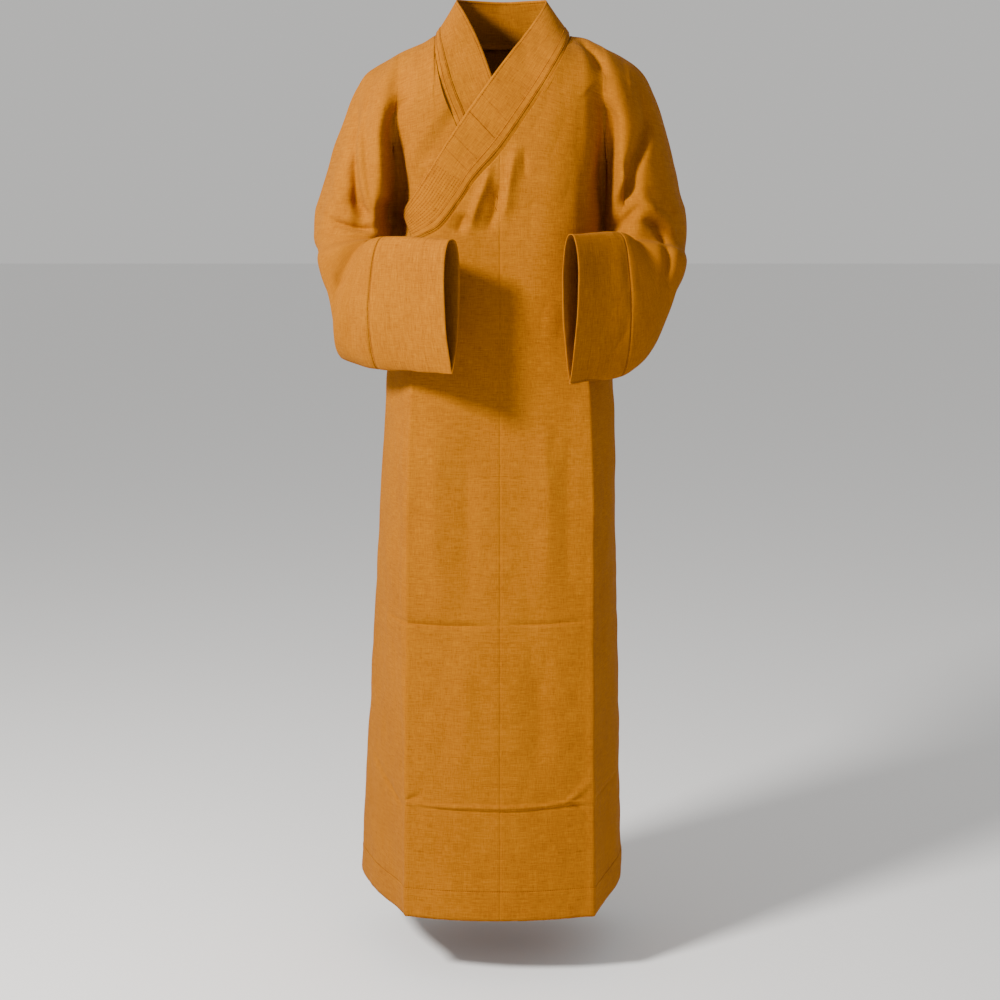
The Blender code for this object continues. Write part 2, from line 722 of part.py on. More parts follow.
def main():
    for obj in list(bpy.data.objects):
        bpy.data.objects.remove(obj, do_unlink=True)
    collection = bpy.data.collections.new(NAME)
    bpy.context.scene.collection.children.link(collection)
    cloth = (0.62, 0.27, 0.03)
    for side in (LEFT, RIGHT):
        name = "left" if side == LEFT else "right"
        build_body(side, material("body_" + name + "_cloth", cloth), collection)
        build_sleeve_end(side, material("sleeve_end_" + name + "_cloth", cloth), collection)
    build_overlap(material("front_overlap_cloth", cloth), collection)
    build_collar(material("collar_band_cloth", cloth), collection)
    build_border(material("collar_border_cloth", cloth), collection)


main()
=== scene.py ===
"""Looks of the saffron wrap-over robe: fine cloth on its own form, with creases, stitching and weave."""
import math

import bmesh
import bpy
import numpy as np
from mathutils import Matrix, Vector, noise


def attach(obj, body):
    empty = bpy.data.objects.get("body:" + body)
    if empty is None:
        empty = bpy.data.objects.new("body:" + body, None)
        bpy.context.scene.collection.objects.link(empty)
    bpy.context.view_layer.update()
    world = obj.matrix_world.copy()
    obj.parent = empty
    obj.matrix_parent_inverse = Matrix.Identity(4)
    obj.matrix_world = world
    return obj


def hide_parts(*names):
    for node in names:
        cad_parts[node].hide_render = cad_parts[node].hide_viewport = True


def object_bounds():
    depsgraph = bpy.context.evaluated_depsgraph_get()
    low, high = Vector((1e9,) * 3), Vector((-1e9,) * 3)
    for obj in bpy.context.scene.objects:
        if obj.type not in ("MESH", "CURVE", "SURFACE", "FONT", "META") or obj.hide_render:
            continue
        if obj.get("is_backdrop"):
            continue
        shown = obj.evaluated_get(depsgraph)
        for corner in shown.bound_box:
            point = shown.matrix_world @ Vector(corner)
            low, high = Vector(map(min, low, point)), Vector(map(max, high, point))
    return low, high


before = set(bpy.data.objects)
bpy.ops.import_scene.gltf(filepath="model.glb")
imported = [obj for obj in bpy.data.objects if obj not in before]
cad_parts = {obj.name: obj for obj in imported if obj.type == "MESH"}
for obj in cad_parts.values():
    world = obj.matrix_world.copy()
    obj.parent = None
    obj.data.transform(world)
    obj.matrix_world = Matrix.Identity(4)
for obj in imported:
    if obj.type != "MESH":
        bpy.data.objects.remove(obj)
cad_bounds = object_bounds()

# sizes, in metres. The origin is the middle of the neck; -Y is the front and +X the wearer's left
SEAM_LAP = 0.0004       # how far sewn edges run past each other
SEAM_TUCK = 0.0012      # how far a sewn-on piece's edge lies under the other
CLOTH = 0.0012          # thickness of the cloth, of the doubled collar and of the border
COLLAR_CLOTH = 0.0020
BORDER_CLOTH = 0.0008
COLLAR_SINK = 0.0022    # how far the collar's seam lies in under the fronts
UNDERARM_Z = -0.300     # the mantle ends and the sleeves and skirt begin
HEM_Z = -1.330
HEM_TURN = 0.046        # the hem's stitching is this far above the edge
UNDERLAP = 0.0060       # the covered front lies this far inside the outer one
UNDERLAP_TOP = 0.012    # height over which its side moves in, below the underarm
UNDERLAP_BACK_T = 2.34  # station where its side starts to come out again, and over how many
UNDERLAP_BACK_RUN = 0.4
UNDERLAP_ARM = 0.15     # the same past the armpit fold
SLEEVE_END = 0.110      # length of the piece sewn to the end of each sleeve
SLEEVE_TURN_ROWS = 1.3  # sleeve rows over which the hanging arm turns into the forearm
SLEEVE_DROP = 0.05      # how far the elbow's outside hangs for each of those rows
COLLAR_WIDTH = 0.070
TIP_Z = -0.060          # height of the shoulder tip
PINCH_TOP_X = 0.150     # the armpit fold at the shoulder
SHOULDER_ROUND = 0.095  # how far down the sheets round over the shoulder
ARM_ROUND_C = 1.30      # across the mantle, from where they round over the arm's outside
CREASE = 0.8            # how sharp the pressed creases are, 0 to 1
CREASE_TOP_Z = -0.34    # they fade in below this height
CREASE_FADE = 0.16
FOLD_TOP = 0.4          # share of a fold's depth at its top
NECK_DIP = 0.012        # how far the neck seam dips at the centre back
HOLLOW = 1.6            # how late the sheets fall in toward the underarm
CUFF_FLAT = 0.5         # how much thinner the pressed lower edge of a cuff is
FRONT_PINCH_T = 1.70    # body stations run from 0, the centre front, to 4, the centre back
BACK_PINCH_T = 2.30
OVERLAP_SIDE_Z = -0.345 # top of the overlap's edge where it passes under the arm
OVERLAP_SIDE_T = 2.25   # the station of that edge, and the one from which its top is level
OVERLAP_LEVEL_T = 1.85
OVERLAP_BEND_C = 0.91   # the overlap's top leaves the collar here
OVERLAP_EVEN_Z = -0.375 # below this its rows are level
LEFT = 1
RIGHT = -1

# outline of shoulder and upper arm from the front: height, half width on each side
OUTLINE = (
    # z,     left,   right
    (0.030, 0.000, 0.000),
    (0.022, 0.050, 0.048),
    (0.011, 0.080, 0.076),
    (0.000, 0.106, 0.096),
    (-0.004, 0.127, 0.103),
    (-0.010, 0.141, 0.113),
    (-0.022, 0.165, 0.143),
    (-0.034, 0.187, 0.165),
    (-0.046, 0.205, 0.185),
    (-0.060, 0.218, 0.203),
    (-0.085, 0.231, 0.219),
    (-0.120, 0.245, 0.233),
    (-0.175, 0.260, 0.255),
    (-0.230, 0.273, 0.273),
    (-0.270, 0.286, 0.285),
    (-0.300, 0.289, 0.291),
)

# depth of the front and back sheets across the mantle. across: 0 centre, 1 armpit fold, 2 outside of the arm
MANTLE = (
    # across, front chest, front bottom, back chest, back bottom
    (0.00, 0.116, 0.124, 0.106, 0.118),
    (0.40, 0.116, 0.123, 0.110, 0.117),
    (0.80, 0.110, 0.110, 0.108, 0.104),
    (1.00, 0.096, 0.052, 0.098, 0.052),
    (1.25, 0.100, 0.098, 0.100, 0.098),
    (1.60, 0.088, 0.092, 0.098, 0.104),
    (2.00, 0.080, 0.085, 0.090, 0.100),
)

# horizontal sections of the body from the underarm to the hem
BODY = (
    # z,  shift, front x, front y, centre y, side x, side y, back x, back y, centre back y
    (-0.300, 0.000, 0.112, -0.110, -0.124, 0.162, 0.000, 0.112, 0.104, 0.118),
    (-0.400, 0.000, 0.116, -0.111, -0.122, 0.163, 0.004, 0.112, 0.106, 0.114),
    (-0.520, 0.000, 0.132, -0.115, -0.124, 0.174, 0.014, 0.118, 0.112, 0.116),
    (-0.760, -0.004, 0.140, -0.121, -0.130, 0.186, 0.038, 0.126, 0.130, 0.137),
    (-1.000, -0.008, 0.142, -0.124, -0.138, 0.198, 0.060, 0.134, 0.147, 0.158),
    (-1.200, -0.012, 0.143, -0.125, -0.145, 0.208, 0.078, 0.140, 0.162, 0.174),
    (-1.330, -0.013, 0.144, -0.125, -0.149, 0.213, 0.088, 0.143, 0.171, 0.184),
)

# sleeve sections from the elbow's level to the cuff: the section's inner or upper point, how far its long
# axis has turned from level to hanging, its length and its thickness
SLEEVE = {
    LEFT: (
        # x,     y,      z,    turn, long, thick
        (0.180, -0.084, -0.300, 0, 0.118, 0.145),
        (0.182, -0.090, -0.300, 15, 0.118, 0.138),
        (0.184, -0.095, -0.299, 45, 0.118, 0.122),
        (0.184, -0.100, -0.297, 63, 0.148, 0.098),
        (0.183, -0.114, -0.294, 77, 0.184, 0.078),
        (0.175, -0.133, -0.291, 86, 0.202, 0.062),
        (0.146, -0.160, -0.288, 90, 0.214, 0.050),
        (0.100, -0.203, -0.289, 90, 0.216, 0.042),
    ),
    RIGHT: (
        (0.180, -0.084, -0.300, 0, 0.113, 0.145),
        (0.182, -0.090, -0.301, 18, 0.100, 0.138),
        (0.183, -0.094, -0.302, 50, 0.112, 0.118),
        (0.182, -0.098, -0.301, 65, 0.156, 0.098),
        (0.182, -0.113, -0.299, 70, 0.194, 0.082),
        (0.174, -0.131, -0.297, 82, 0.192, 0.064),
        (0.134, -0.164, -0.295, 90, 0.192, 0.050),
        (0.068, -0.211, -0.297, 90, 0.192, 0.042),
    ),
}
FOREARM = (-0.72, -0.70)   # heading in plan, toward the middle and forward
CUFF_SEAM = 5.3            # the row where the sleeve end is sewn on
CUFF_ROW = 7.0

# largest folds of the mantle
FOLDS = (
    # side, sheet, top x, top z, low x, low z, width, depth
    (RIGHT, "front", 0.150, -0.100, 0.150, -0.290, 0.011, 0.018),
    (LEFT, "front", 0.160, -0.110, 0.156, -0.290, 0.012, 0.020),
    (RIGHT, "front", 0.217, -0.110, 0.202, -0.290, 0.012, 0.016),
    (LEFT, "front", 0.220, -0.120, 0.180, -0.285, 0.012, 0.016),
    (RIGHT, "back", 0.150, -0.110, 0.154, -0.290, 0.014, 0.020),
    (LEFT, "back", 0.152, -0.120, 0.158, -0.290, 0.014, 0.020),
)

# the collar's seam with the fronts: x across the robe, height
OUTER_NECK = ((0.106, 0.000), (0.094, -0.030), (0.066, -0.080), (0.033, -0.130), (0.000, -0.176),
              (-0.038, -0.218), (-0.058, -0.248), (-0.092, -0.288), (-0.150, -0.310))
INNER_NECK = ((-0.096, 0.000), (-0.0945, -0.030), (-0.084, -0.085), (-0.064, -0.135), (-0.030, -0.220),
              (0.000, -0.285))

# the collar from its hidden end inside the left front, round the neck, to its end on the right side
COLLAR = (
    # seam x, edge x, edge y, edge z, laid on the chest, inset
    (0.000, 0.045, -0.110, -0.215, 1.0, 1.0),
    (-0.036, 0.016, -0.108, -0.135, 1.0, 1.0),
    (-0.064, -0.010, -0.094, -0.070, 0.8, 1.0),
    (-0.084, -0.026, -0.082, -0.026, 0.4, 0.6),
    (-0.091, -0.042, -0.064, 0.010, 0.1, 0.2),
    (-0.0945, -0.054, -0.042, 0.032, 0.0, 0.0),
    (-0.096, -0.064, -0.010, 0.049, 0.0, 0.0),
    (-0.088, -0.063, 0.022, 0.053, 0.0, 0.0),
    (-0.050, -0.040, 0.048, 0.054, 0.0, 0.0),
    (0.000, 0.003, 0.058, 0.053, 0.0, 0.0),
    (0.054, 0.046, 0.048, 0.054, 0.0, 0.0),
    (0.096, 0.068, 0.022, 0.053, 0.0, 0.0),
    (0.106, 0.069, -0.010, 0.049, 0.0, 0.0),
    (0.094, 0.057, -0.042, 0.026, 0.0, 0.0),
    (0.078, 0.036, -0.068, -0.004, 0.2, 0.0),
    (0.050, 0.010, -0.092, -0.038, 0.6, 0.0),
    (0.020, -0.020, -0.104, -0.078, 1.0, 0.0),
    (-0.020, -0.058, -0.112, -0.131, 1.0, 0.0),
    (-0.058, -0.094, -0.115, -0.185, 1.0, 0.0),
    (-0.092, -0.122, -0.112, -0.228, 1.0, -0.2),
    (-0.128, -0.147, -0.105, -0.262, 1.0, -0.5),
)
RIGHT_CORNER = 6        # the rows where the collar passes from the fronts to the back
LEFT_CORNER = 12
COLLAR_TUCK = -0.05     # share of the collar's width that runs on under the fronts
BORDER_ACROSS = (0.075, 0.24)
RIM = 0.0013            # how far the border stands off the collar

# creases on the faces that look forward. Depth is how far in a trough goes; a ridge is negative. The two
# widths are the slopes on the +X or upper side and on the other side. Paths run down the robe or toward +X.
FRONT_CREASES = (
    # depth, upper, lower, ((x, z), ...)
    # folds of the right armpit
    (0.010, 0.006, 0.011, ((-0.124, -0.088), (-0.147, -0.108), (-0.156, -0.127), (-0.159, -0.150),
                           (-0.152, -0.172), (-0.143, -0.215), (-0.141, -0.262))),
    (0.005, 0.006, 0.005, ((-0.188, -0.070), (-0.195, -0.099), (-0.199, -0.122), (-0.196, -0.194),
                           (-0.187, -0.252), (-0.177, -0.276))),
    (0.018, 0.007, 0.012, ((-0.212, -0.082), (-0.216, -0.120), (-0.219, -0.165), (-0.214, -0.215),
                           (-0.207, -0.250), (-0.199, -0.275))),
    (-0.012, 0.010, 0.011, ((-0.172, -0.110), (-0.177, -0.160), (-0.175, -0.215), (-0.166, -0.270))),
    (-0.007, 0.007, 0.007, ((-0.205, -0.130), (-0.204, -0.200), (-0.193, -0.256))),
    (0.004, 0.018, 0.014, ((-0.112, -0.022), (-0.135, -0.046), (-0.152, -0.071), (-0.163, -0.094))),
    (0.012, 0.008, 0.012, ((-0.172, -0.238), (-0.160, -0.266), (-0.150, -0.288))),
    (0.012, 0.006, 0.004, ((-0.258, -0.268), (-0.238, -0.279), (-0.217, -0.284), (-0.180, -0.288))),
    (-0.007, 0.006, 0.009, ((-0.266, -0.288), (-0.236, -0.296), (-0.204, -0.294), (-0.176, -0.298))),
    (0.008, 0.006, 0.008, ((-0.225, -0.232), (-0.205, -0.254), (-0.186, -0.272))),
    (-0.005, 0.007, 0.009, ((-0.246, -0.190), (-0.240, -0.230), (-0.232, -0.262))),
    (0.003, 0.006, 0.007, ((-0.106, -0.196), (-0.114, -0.212), (-0.122, -0.232))),
    (0.004, 0.006, 0.006, ((-0.243, -0.350), (-0.234, -0.359), (-0.241, -0.373))),
    # folds of the left shoulder and armpit
    (0.014, 0.006, 0.009, ((0.108, -0.002), (0.126, -0.014), (0.141, -0.034), (0.154, -0.066))),
    (0.016, 0.010, 0.013, ((0.130, -0.084), (0.150, -0.106), (0.163, -0.130), (0.160, -0.165),
                           (0.155, -0.194), (0.151, -0.230), (0.153, -0.287))),
    (0.006, 0.006, 0.006, ((0.188, -0.178), (0.185, -0.217), (0.176, -0.243), (0.166, -0.272))),
    (-0.010, 0.008, 0.008, ((0.197, -0.186), (0.184, -0.212), (0.172, -0.238), (0.164, -0.286))),
    (0.018, 0.006, 0.011, ((0.203, -0.078), (0.213, -0.098), (0.220, -0.128), (0.212, -0.160),
                           (0.200, -0.190), (0.187, -0.236), (0.167, -0.284))),
    (-0.002, 0.004, 0.004, ((0.190, -0.050), (0.193, -0.098))),
    (0.010, 0.005, 0.010, ((0.163, -0.290), (0.186, -0.268), (0.207, -0.245))),
    (-0.008, 0.008, 0.008, ((0.206, -0.240), (0.229, -0.260), (0.252, -0.280), (0.264, -0.306))),
    (0.003, 0.005, 0.005, ((0.236, -0.255), (0.264, -0.264))),
    (0.012, 0.006, 0.008, ((0.200, -0.272), (0.228, -0.280), (0.243, -0.298), (0.248, -0.330),
                           (0.244, -0.366))),
    # soft folds that run down from the collar
    (-0.008, 0.009, 0.007, ((-0.013, -0.192), (-0.024, -0.225), (-0.036, -0.256), (-0.046, -0.292))),
    (0.006, 0.009, 0.009, ((0.000, -0.215), (-0.006, -0.255), (-0.020, -0.290))),
    (-0.007, 0.010, 0.008, ((0.024, -0.162), (0.015, -0.210), (0.005, -0.275))),
    (0.007, 0.010, 0.010, ((-0.050, -0.262), (-0.062, -0.292))),
    (0.002, 0.005, 0.005, ((0.035, -0.166), (0.036, -0.214))),
    # creases of the skirt
    (0.0040, 0.006, 0.0022, ((-0.188, -0.866), (-0.150, -0.871), (-0.067, -0.875), (-0.001, -0.874))),
    (0.0026, 0.005, 0.0022, ((0.000, -0.872), (0.050, -0.872), (0.090, -0.870), (0.142, -0.867))),
    (-0.0040, 0.0024, 0.006, ((-0.146, -1.149), (-0.076, -1.151), (0.000, -1.151), (0.060, -1.150),
                              (0.104, -1.146), (0.150, -1.147))),
    (0.0028, 0.0022, 0.004, ((-0.146, -1.155), (0.000, -1.158), (0.104, -1.153), (0.150, -1.154))),
    (0.0032, 0.003, 0.004, ((-0.150, -1.149), (-0.131, -1.140), (-0.118, -1.134))),
    (0.0030, 0.003, 0.004, ((-0.150, -1.149), (-0.128, -1.162), (-0.112, -1.172))),
    (-0.0034, 0.003, 0.004, ((0.096, -1.149), (0.122, -1.130), (0.144, -1.106))),
    (0.0036, 0.003, 0.004, ((0.098, -1.143), (0.122, -1.158), (0.143, -1.180))),
    (0.0045, 0.005, 0.004, ((-0.206, -1.100), (-0.178, -1.137), (-0.144, -1.165))),
    (0.0040, 0.004, 0.004, ((0.140, -1.146), (0.165, -1.144), (0.200, -1.132))),
    (-0.0030, 0.020, 0.016, ((-0.092, -0.560), (-0.098, -0.720), (-0.090, -0.860))),
    (0.0030, 0.016, 0.020, ((-0.050, -0.600), (-0.046, -0.760), (-0.052, -0.860))),
    (-0.0028, 0.014, 0.018, ((0.062, -0.540), (0.072, -0.700), (0.066, -0.850))),
    (0.0028, 0.018, 0.014, ((0.104, -0.560), (0.100, -0.720), (0.108, -0.850))),
    (-0.0026, 0.018, 0.018, ((-0.060, -0.900), (-0.052, -1.010), (-0.064, -1.130))),
    (0.0026, 0.018, 0.018, ((0.050, -0.900), (0.060, -1.020), (0.052, -1.130))),
    (0.0008, 0.002, 0.003, ((-0.056, -0.573), (-0.007, -0.573))),
    (0.0008, 0.002, 0.003, ((-0.056, -0.631), (0.027, -0.632))),
    (0.0008, 0.002, 0.003, ((-0.059, -0.655), (-0.025, -0.656))),
    # creases of the sleeve ends
    (0.0030, 0.004, 0.006, ((0.181, -0.310), (0.185, -0.354), (0.191, -0.410))),
    (0.0030, 0.004, 0.008, ((0.191, -0.410), (0.178, -0.434), (0.166, -0.454), (0.146, -0.495))),
    (-0.0020, 0.010, 0.010, ((0.236, -0.330), (0.226, -0.400), (0.196, -0.460))),
    (0.0030, 0.010, 0.012, ((-0.214, -0.330), (-0.222, -0.400), (-0.214, -0.470))),
)

# the same kinds of crease on the faces that look back
BACK_CREASES = (
    (0.010, 0.009, 0.011, ((-0.128, -0.080), (-0.148, -0.120), (-0.154, -0.180), (-0.148, -0.285))),
    (0.010, 0.011, 0.009, ((0.130, -0.070), (0.150, -0.115), (0.156, -0.180), (0.150, -0.285))),
    (0.008, 0.008, 0.008, ((-0.205, -0.110), (-0.211, -0.170), (-0.196, -0.260))),
    (0.008, 0.008, 0.008, ((0.210, -0.120), (0.214, -0.175), (0.192, -0.255))),
    (-0.003, 0.014, 0.014, ((-0.060, -0.060), (-0.075, -0.150), (-0.070, -0.280))),
    (-0.003, 0.014, 0.014, ((0.064, -0.070), (0.078, -0.160), (0.074, -0.290))),
    (0.003, 0.016, 0.016, ((-0.030, -0.300), (-0.045, -0.480), (-0.050, -0.700))),
    (0.003, 0.016, 0.016, ((0.040, -0.310), (0.050, -0.500), (0.056, -0.760))),
    (0.005, 0.006, 0.007, ((-0.262, -0.276), (-0.235, -0.292), (-0.200, -0.296))),
    (0.005, 0.006, 0.007, ((0.262, -0.280), (0.236, -0.296), (0.200, -0.300))),
    (0.0020, 0.004, 0.0018, ((-0.186, -0.868), (-0.070, -0.873), (0.060, -0.871), (0.178, -0.866))),
    (-0.0024, 0.0024, 0.005, ((-0.196, -1.146), (-0.080, -1.152), (0.070, -1.149), (0.186, -1.144))),
    (0.0018, 0.002, 0.003, ((-0.150, -1.152), (-0.120, -1.128))),
    (0.0018, 0.002, 0.003, ((0.132, -1.150), (0.152, -1.176))),
)

FOLD_LINES_Z = (-0.872, -1.150, HEM_Z + HEM_TURN)      # where the skirt was folded across, and its hem's line

# pressed creases down the skirt
PRESSED = (
    # ridge, x at the top, x at the bottom, top z, bottom z
    (0.0024, -0.1440, -0.1454, -0.500, -1.330),
    (0.0020, 0.1385, 0.1395, -0.560, -1.330),
)
PRESSED_WIDTH = 0.004
PRESSED_FADE = 0.12     # share of a pressed crease over which it fades in
PRESSED_WAVER = 0.002   # how far it strays from its line, and how fast that turns with height
PRESSED_TURNS = 9.0

CREASE_STEP = 0.006     # how closely a crease's path is followed
CREASE_ENDS = 0.28      # share of a crease over which it fades in and out, and what is left at its ends
CREASE_LEFT = 0.15
CREASE_POWER = 1.6      # a crease's section: 1 is sharp and 2 is round
CREASE_SQUARE = 0.45    # how much of a crease goes square to the cloth; the rest goes straight back

# how far the cloth strays from its form: in tall waves, in soft ones and in fine ridges
TALL_SIZE, TALL_DEPTH, TALL_SKIRT = 0.085, 0.0012, 0.0024
SOFT_SIZE, SOFT_DEPTH = 0.060, 0.0016
FINE_SIZE, FINE_DEPTH = 0.034, 0.0008
GROOVE, GROOVE_WIDTH = 0.0005, 0.0016   # along the centre seams
HEM_STEP, HEM_STEP_RUN = 0.0007, 0.0015 # where the turned hem makes the cloth double
HEM_EDGE = 0.004


def ease(t):
    t = np.clip(t, 0.0, 1.0)
    return t * t * (3 - 2 * t)


def spline(xs, ys, at):
    """Monotone cubic through (xs, ys), read at an array of places."""
    xs = np.asarray(xs, float)
    ys = np.asarray(ys, float)
    step = np.diff(xs)
    slope = np.diff(ys) / step
    same = slope[:-1] * slope[1:] > 0
    tangent = np.zeros(len(xs))
    tangent[0] = slope[0]
    tangent[-1] = slope[-1]
    both = np.where(same, slope[:-1] + slope[1:], 1.0)
    tangent[1:-1] = np.where(same, 2 * slope[:-1] * slope[1:] / both, 0.0)
    at = np.clip(at, xs[0], xs[-1])
    k = np.clip(np.searchsorted(xs, at, side="right") - 1, 0, len(step) - 1)
    t = (at - xs[k]) / step[k]
    return ((1 + 2 * t) * (1 - t) ** 2 * ys[k] + t * (1 - t) ** 2 * step[k] * tangent[k]
            + t * t * (3 - 2 * t) * ys[k + 1] + t * t * (t - 1) * step[k] * tangent[k + 1])


def column(table, key, value, at):
    rows = sorted(table, key=lambda row: row[key])
    return spline([row[key] for row in rows], [row[value] for row in rows], at)


def outline_x(side, z):
    return column(OUTLINE, 0, 1 if side == LEFT else 2, z)


def shoulder_z(side, x):
    return column(OUTLINE, 1 if side == LEFT else 2, 0, x)


def ring(side, z, t):
    """A point on the body's section at height z: station t runs from the centre front to the centre back."""
    z, t = np.broadcast_arrays(np.asarray(z, float), np.asarray(t, float))
    shift, fx, fy, cfy, sx, sy, bx, by, cby = [column(BODY, 0, k, z) for k in range(1, 10)]
    off = side * shift
    xs = np.stack([-fx, 0 * fx, fx, sx + off, bx + off, off, off - bx])
    ys = np.stack([fy, cfy, fy, sy, by, cby, by])
    k = np.minimum(t.astype(int), 3)
    u = t - k
    crisp = CREASE * ease((CREASE_TOP_Z - z) / CREASE_FADE)
    found = []
    for posts in (xs, ys):
        before, start, end, after = [np.take_along_axis(posts, (k + j)[None], 0)[0] for j in range(4)]
        lead = (end - before) * 0.5
        tail = (after - start) * 0.5
        tail = np.where(k == 0, tail * (1 - crisp) + (end - start) * crisp, tail)
        lead = np.where(k == 1, lead * (1 - crisp) + (end - start) * crisp, lead)
        found.append((2 * u ** 3 - 3 * u ** 2 + 1) * start + (u ** 3 - 2 * u ** 2 + u) * lead
                     + (3 * u ** 2 - 2 * u ** 3) * end + (u ** 3 - u ** 2) * tail)
    return np.stack([side * found[0], found[1], z], -1)


PINCH_LOW = float(abs(ring(LEFT, UNDERARM_Z, FRONT_PINCH_T)[0]))


def pinch_x(z):
    share = ease((TIP_Z - z) / (TIP_Z - UNDERARM_Z))
    return PINCH_TOP_X + (PINCH_LOW - PINCH_TOP_X) * share


def across(side, x, z):
    """0 at the centre, 1 at the armpit fold, 2 at the outline."""
    middle = pinch_x(z)
    edge = outline_x(side, z)
    beyond = 1 + (x - middle) / np.maximum(edge - middle, 1e-6)
    return np.where(x <= middle, x / middle, np.where(x > edge - 1e-5, 2.0, beyond))


def along_line(x, z, ax, az, bx, bz):
    """How far along the line from a to b the places x, z lie, 0 to 1, and how far from it."""
    run_x, run_z = bx - ax, bz - az
    t = np.clip(((x - ax) * run_x + (z - az) * run_z) / (run_x ** 2 + run_z ** 2), 0, 1)
    return t, np.hypot(x - ax - t * run_x, z - az - t * run_z)


def fold_depth(side, sheet, x, z):
    total = np.zeros(np.shape(x))
    for row in FOLDS:
        if row[0] == side and row[1] == sheet:
            ax, az, bx, bz = row[2:6]
            t, gap = along_line(x, z, ax, az, bx, bz)
            total = total + row[7] * np.exp(-(gap / row[6]) ** 2) * (FOLD_TOP + (1 - FOLD_TOP) * t)
    return total


def underarm_depth(sheet, c):
    """The section at the underarm, as a depth at a share of the way to the armpit fold."""
    first, last = (0.0, FRONT_PINCH_T) if sheet == "front" else (BACK_PINCH_T, 4.0)
    points = ring(LEFT, UNDERARM_Z, np.linspace(first, last, 400))
    order = np.argsort(points[:, 0])
    return np.interp(c * PINCH_LOW, points[order, 0], np.abs(points[order, 1]))


def sheet_y(side, sheet, x, z):
    """How far forward or back the front or back sheet of the mantle lies at x (from the centre) and z."""
    x, z = np.broadcast_arrays(np.asarray(x, float), np.asarray(z, float))
    c = across(side, x, z)
    top = shoulder_z(side, x)
    down = np.maximum(top - z, 0.0)
    share = ease(down / np.maximum(top - UNDERARM_Z, 1e-6))
    first = 1 if sheet == "front" else 3
    chest = column(MANTLE, 0, first, c)
    low = np.where(c <= 1, underarm_depth(sheet, c), column(MANTLE, 0, first + 1, c))
    depth = chest + (low - chest) * share ** HOLLOW
    over = np.sqrt(np.maximum(1 - (1 - np.minimum(down / SHOULDER_ROUND, 1.0)) ** 2, 0.0))
    out = np.sqrt(np.maximum(1 - np.maximum((c - ARM_ROUND_C) / (2 - ARM_ROUND_C), 0.0) ** 2, 0.0))
    depth = (depth - fold_depth(side, sheet, x, z) * share) * over * out
    ridge = 0.008 + 0.020 * ease(-z / 0.3)
    return (-1 if sheet == "front" else 1) * depth + ridge * (1 - over * out)


def on_sheet(side, sheet, x, z):
    x, z = np.broadcast_arrays(np.asarray(x, float), np.asarray(z, float))
    return np.stack([side * x, sheet_y(side, sheet, x, z), z], -1)


def place(side, c, v, sheet):
    """A point of the mantle: c across, from the centre to the outside of the arm, and v down, 0 to 1."""
    c, v = np.broadcast_arrays(np.asarray(c, float), np.asarray(v, float))
    inner = np.minimum(c, 1.0)
    beyond = np.maximum(c - 1.0, 0.0)
    inner_top = shoulder_z(side, inner * PINCH_TOP_X)
    z = inner_top + (UNDERARM_Z - inner_top) * v
    x = inner * pinch_x(z)
    outer_z = TIP_Z + (UNDERARM_Z - TIP_Z) * v
    x = x + beyond * (outline_x(side, outer_z) - x)
    z = z + beyond * (outer_z - z)
    top_x = PINCH_TOP_X + beyond * (outline_x(side, TIP_Z) - PINCH_TOP_X)
    top_z = inner_top + beyond * (TIP_Z - inner_top)
    z = z + np.where(beyond > 0, (shoulder_z(side, top_x) - top_z) * (1 - v) ** 3, 0.0)
    return on_sheet(side, sheet, x, z)


def neck_z(line, x):
    points = sorted(line)
    return spline([p[0] for p in points], [p[1] for p in points], x)


def neck_cut(side, sheet, x):
    """Height of the neck seam on a sheet, down from the shoulder."""
    corner = float(outline_x(side, 0.0))
    if sheet == "back":
        inside = -NECK_DIP * (1 - (x / corner) ** 2)
    else:
        inside = neck_z(OUTER_NECK if side == LEFT else INNER_NECK, side * x)
    return np.where(x >= corner, shoulder_z(side, x), inside)


def neck_point(side, sheet, c):
    """Where the neck seam crosses columns of the mantle: their x and z."""
    x = c * PINCH_TOP_X
    for _ in range(8):
        x = c * pinch_x(neck_cut(side, sheet, x))
    return x, neck_cut(side, sheet, x)


T_FRONT = np.linspace(0.0, FRONT_PINCH_T, 800)
T_BACK = np.linspace(4.0, BACK_PINCH_T, 800)


def station_c(t):
    """How far across the mantle a body station lies, 0 to 1."""
    return np.abs(ring(LEFT, UNDERARM_Z, t)[..., 0]) / PINCH_LOW


def station_at(sheet, c):
    """The body station that lies a share c of the way to the armpit fold."""
    stations = T_FRONT if sheet == "front" else T_BACK
    return np.interp(c, station_c(stations), stations)


def body_point(side, t, z):
    """The surface at a body station on the front, above the underarm as well as below it."""
    z, t = np.broadcast_arrays(np.asarray(z, float), np.asarray(t, float))
    low = ring(side, np.minimum(z, UNDERARM_Z), t)
    high = on_sheet(side, "front", station_c(t) * pinch_x(z), np.maximum(z, UNDERARM_Z))
    return np.where((z <= UNDERARM_Z)[..., None], low, high)


def sleeve_axes(side):
    """The forearm's heading in plan, and the direction square to it that faces forward."""
    inward = np.array((FOREARM[0] * side, FOREARM[1], 0.0))
    inward /= np.linalg.norm(inward)
    outward = np.array((-inward[1], inward[0], 0.0))
    return inward, outward * (-1 if outward[1] > 0 else 1)


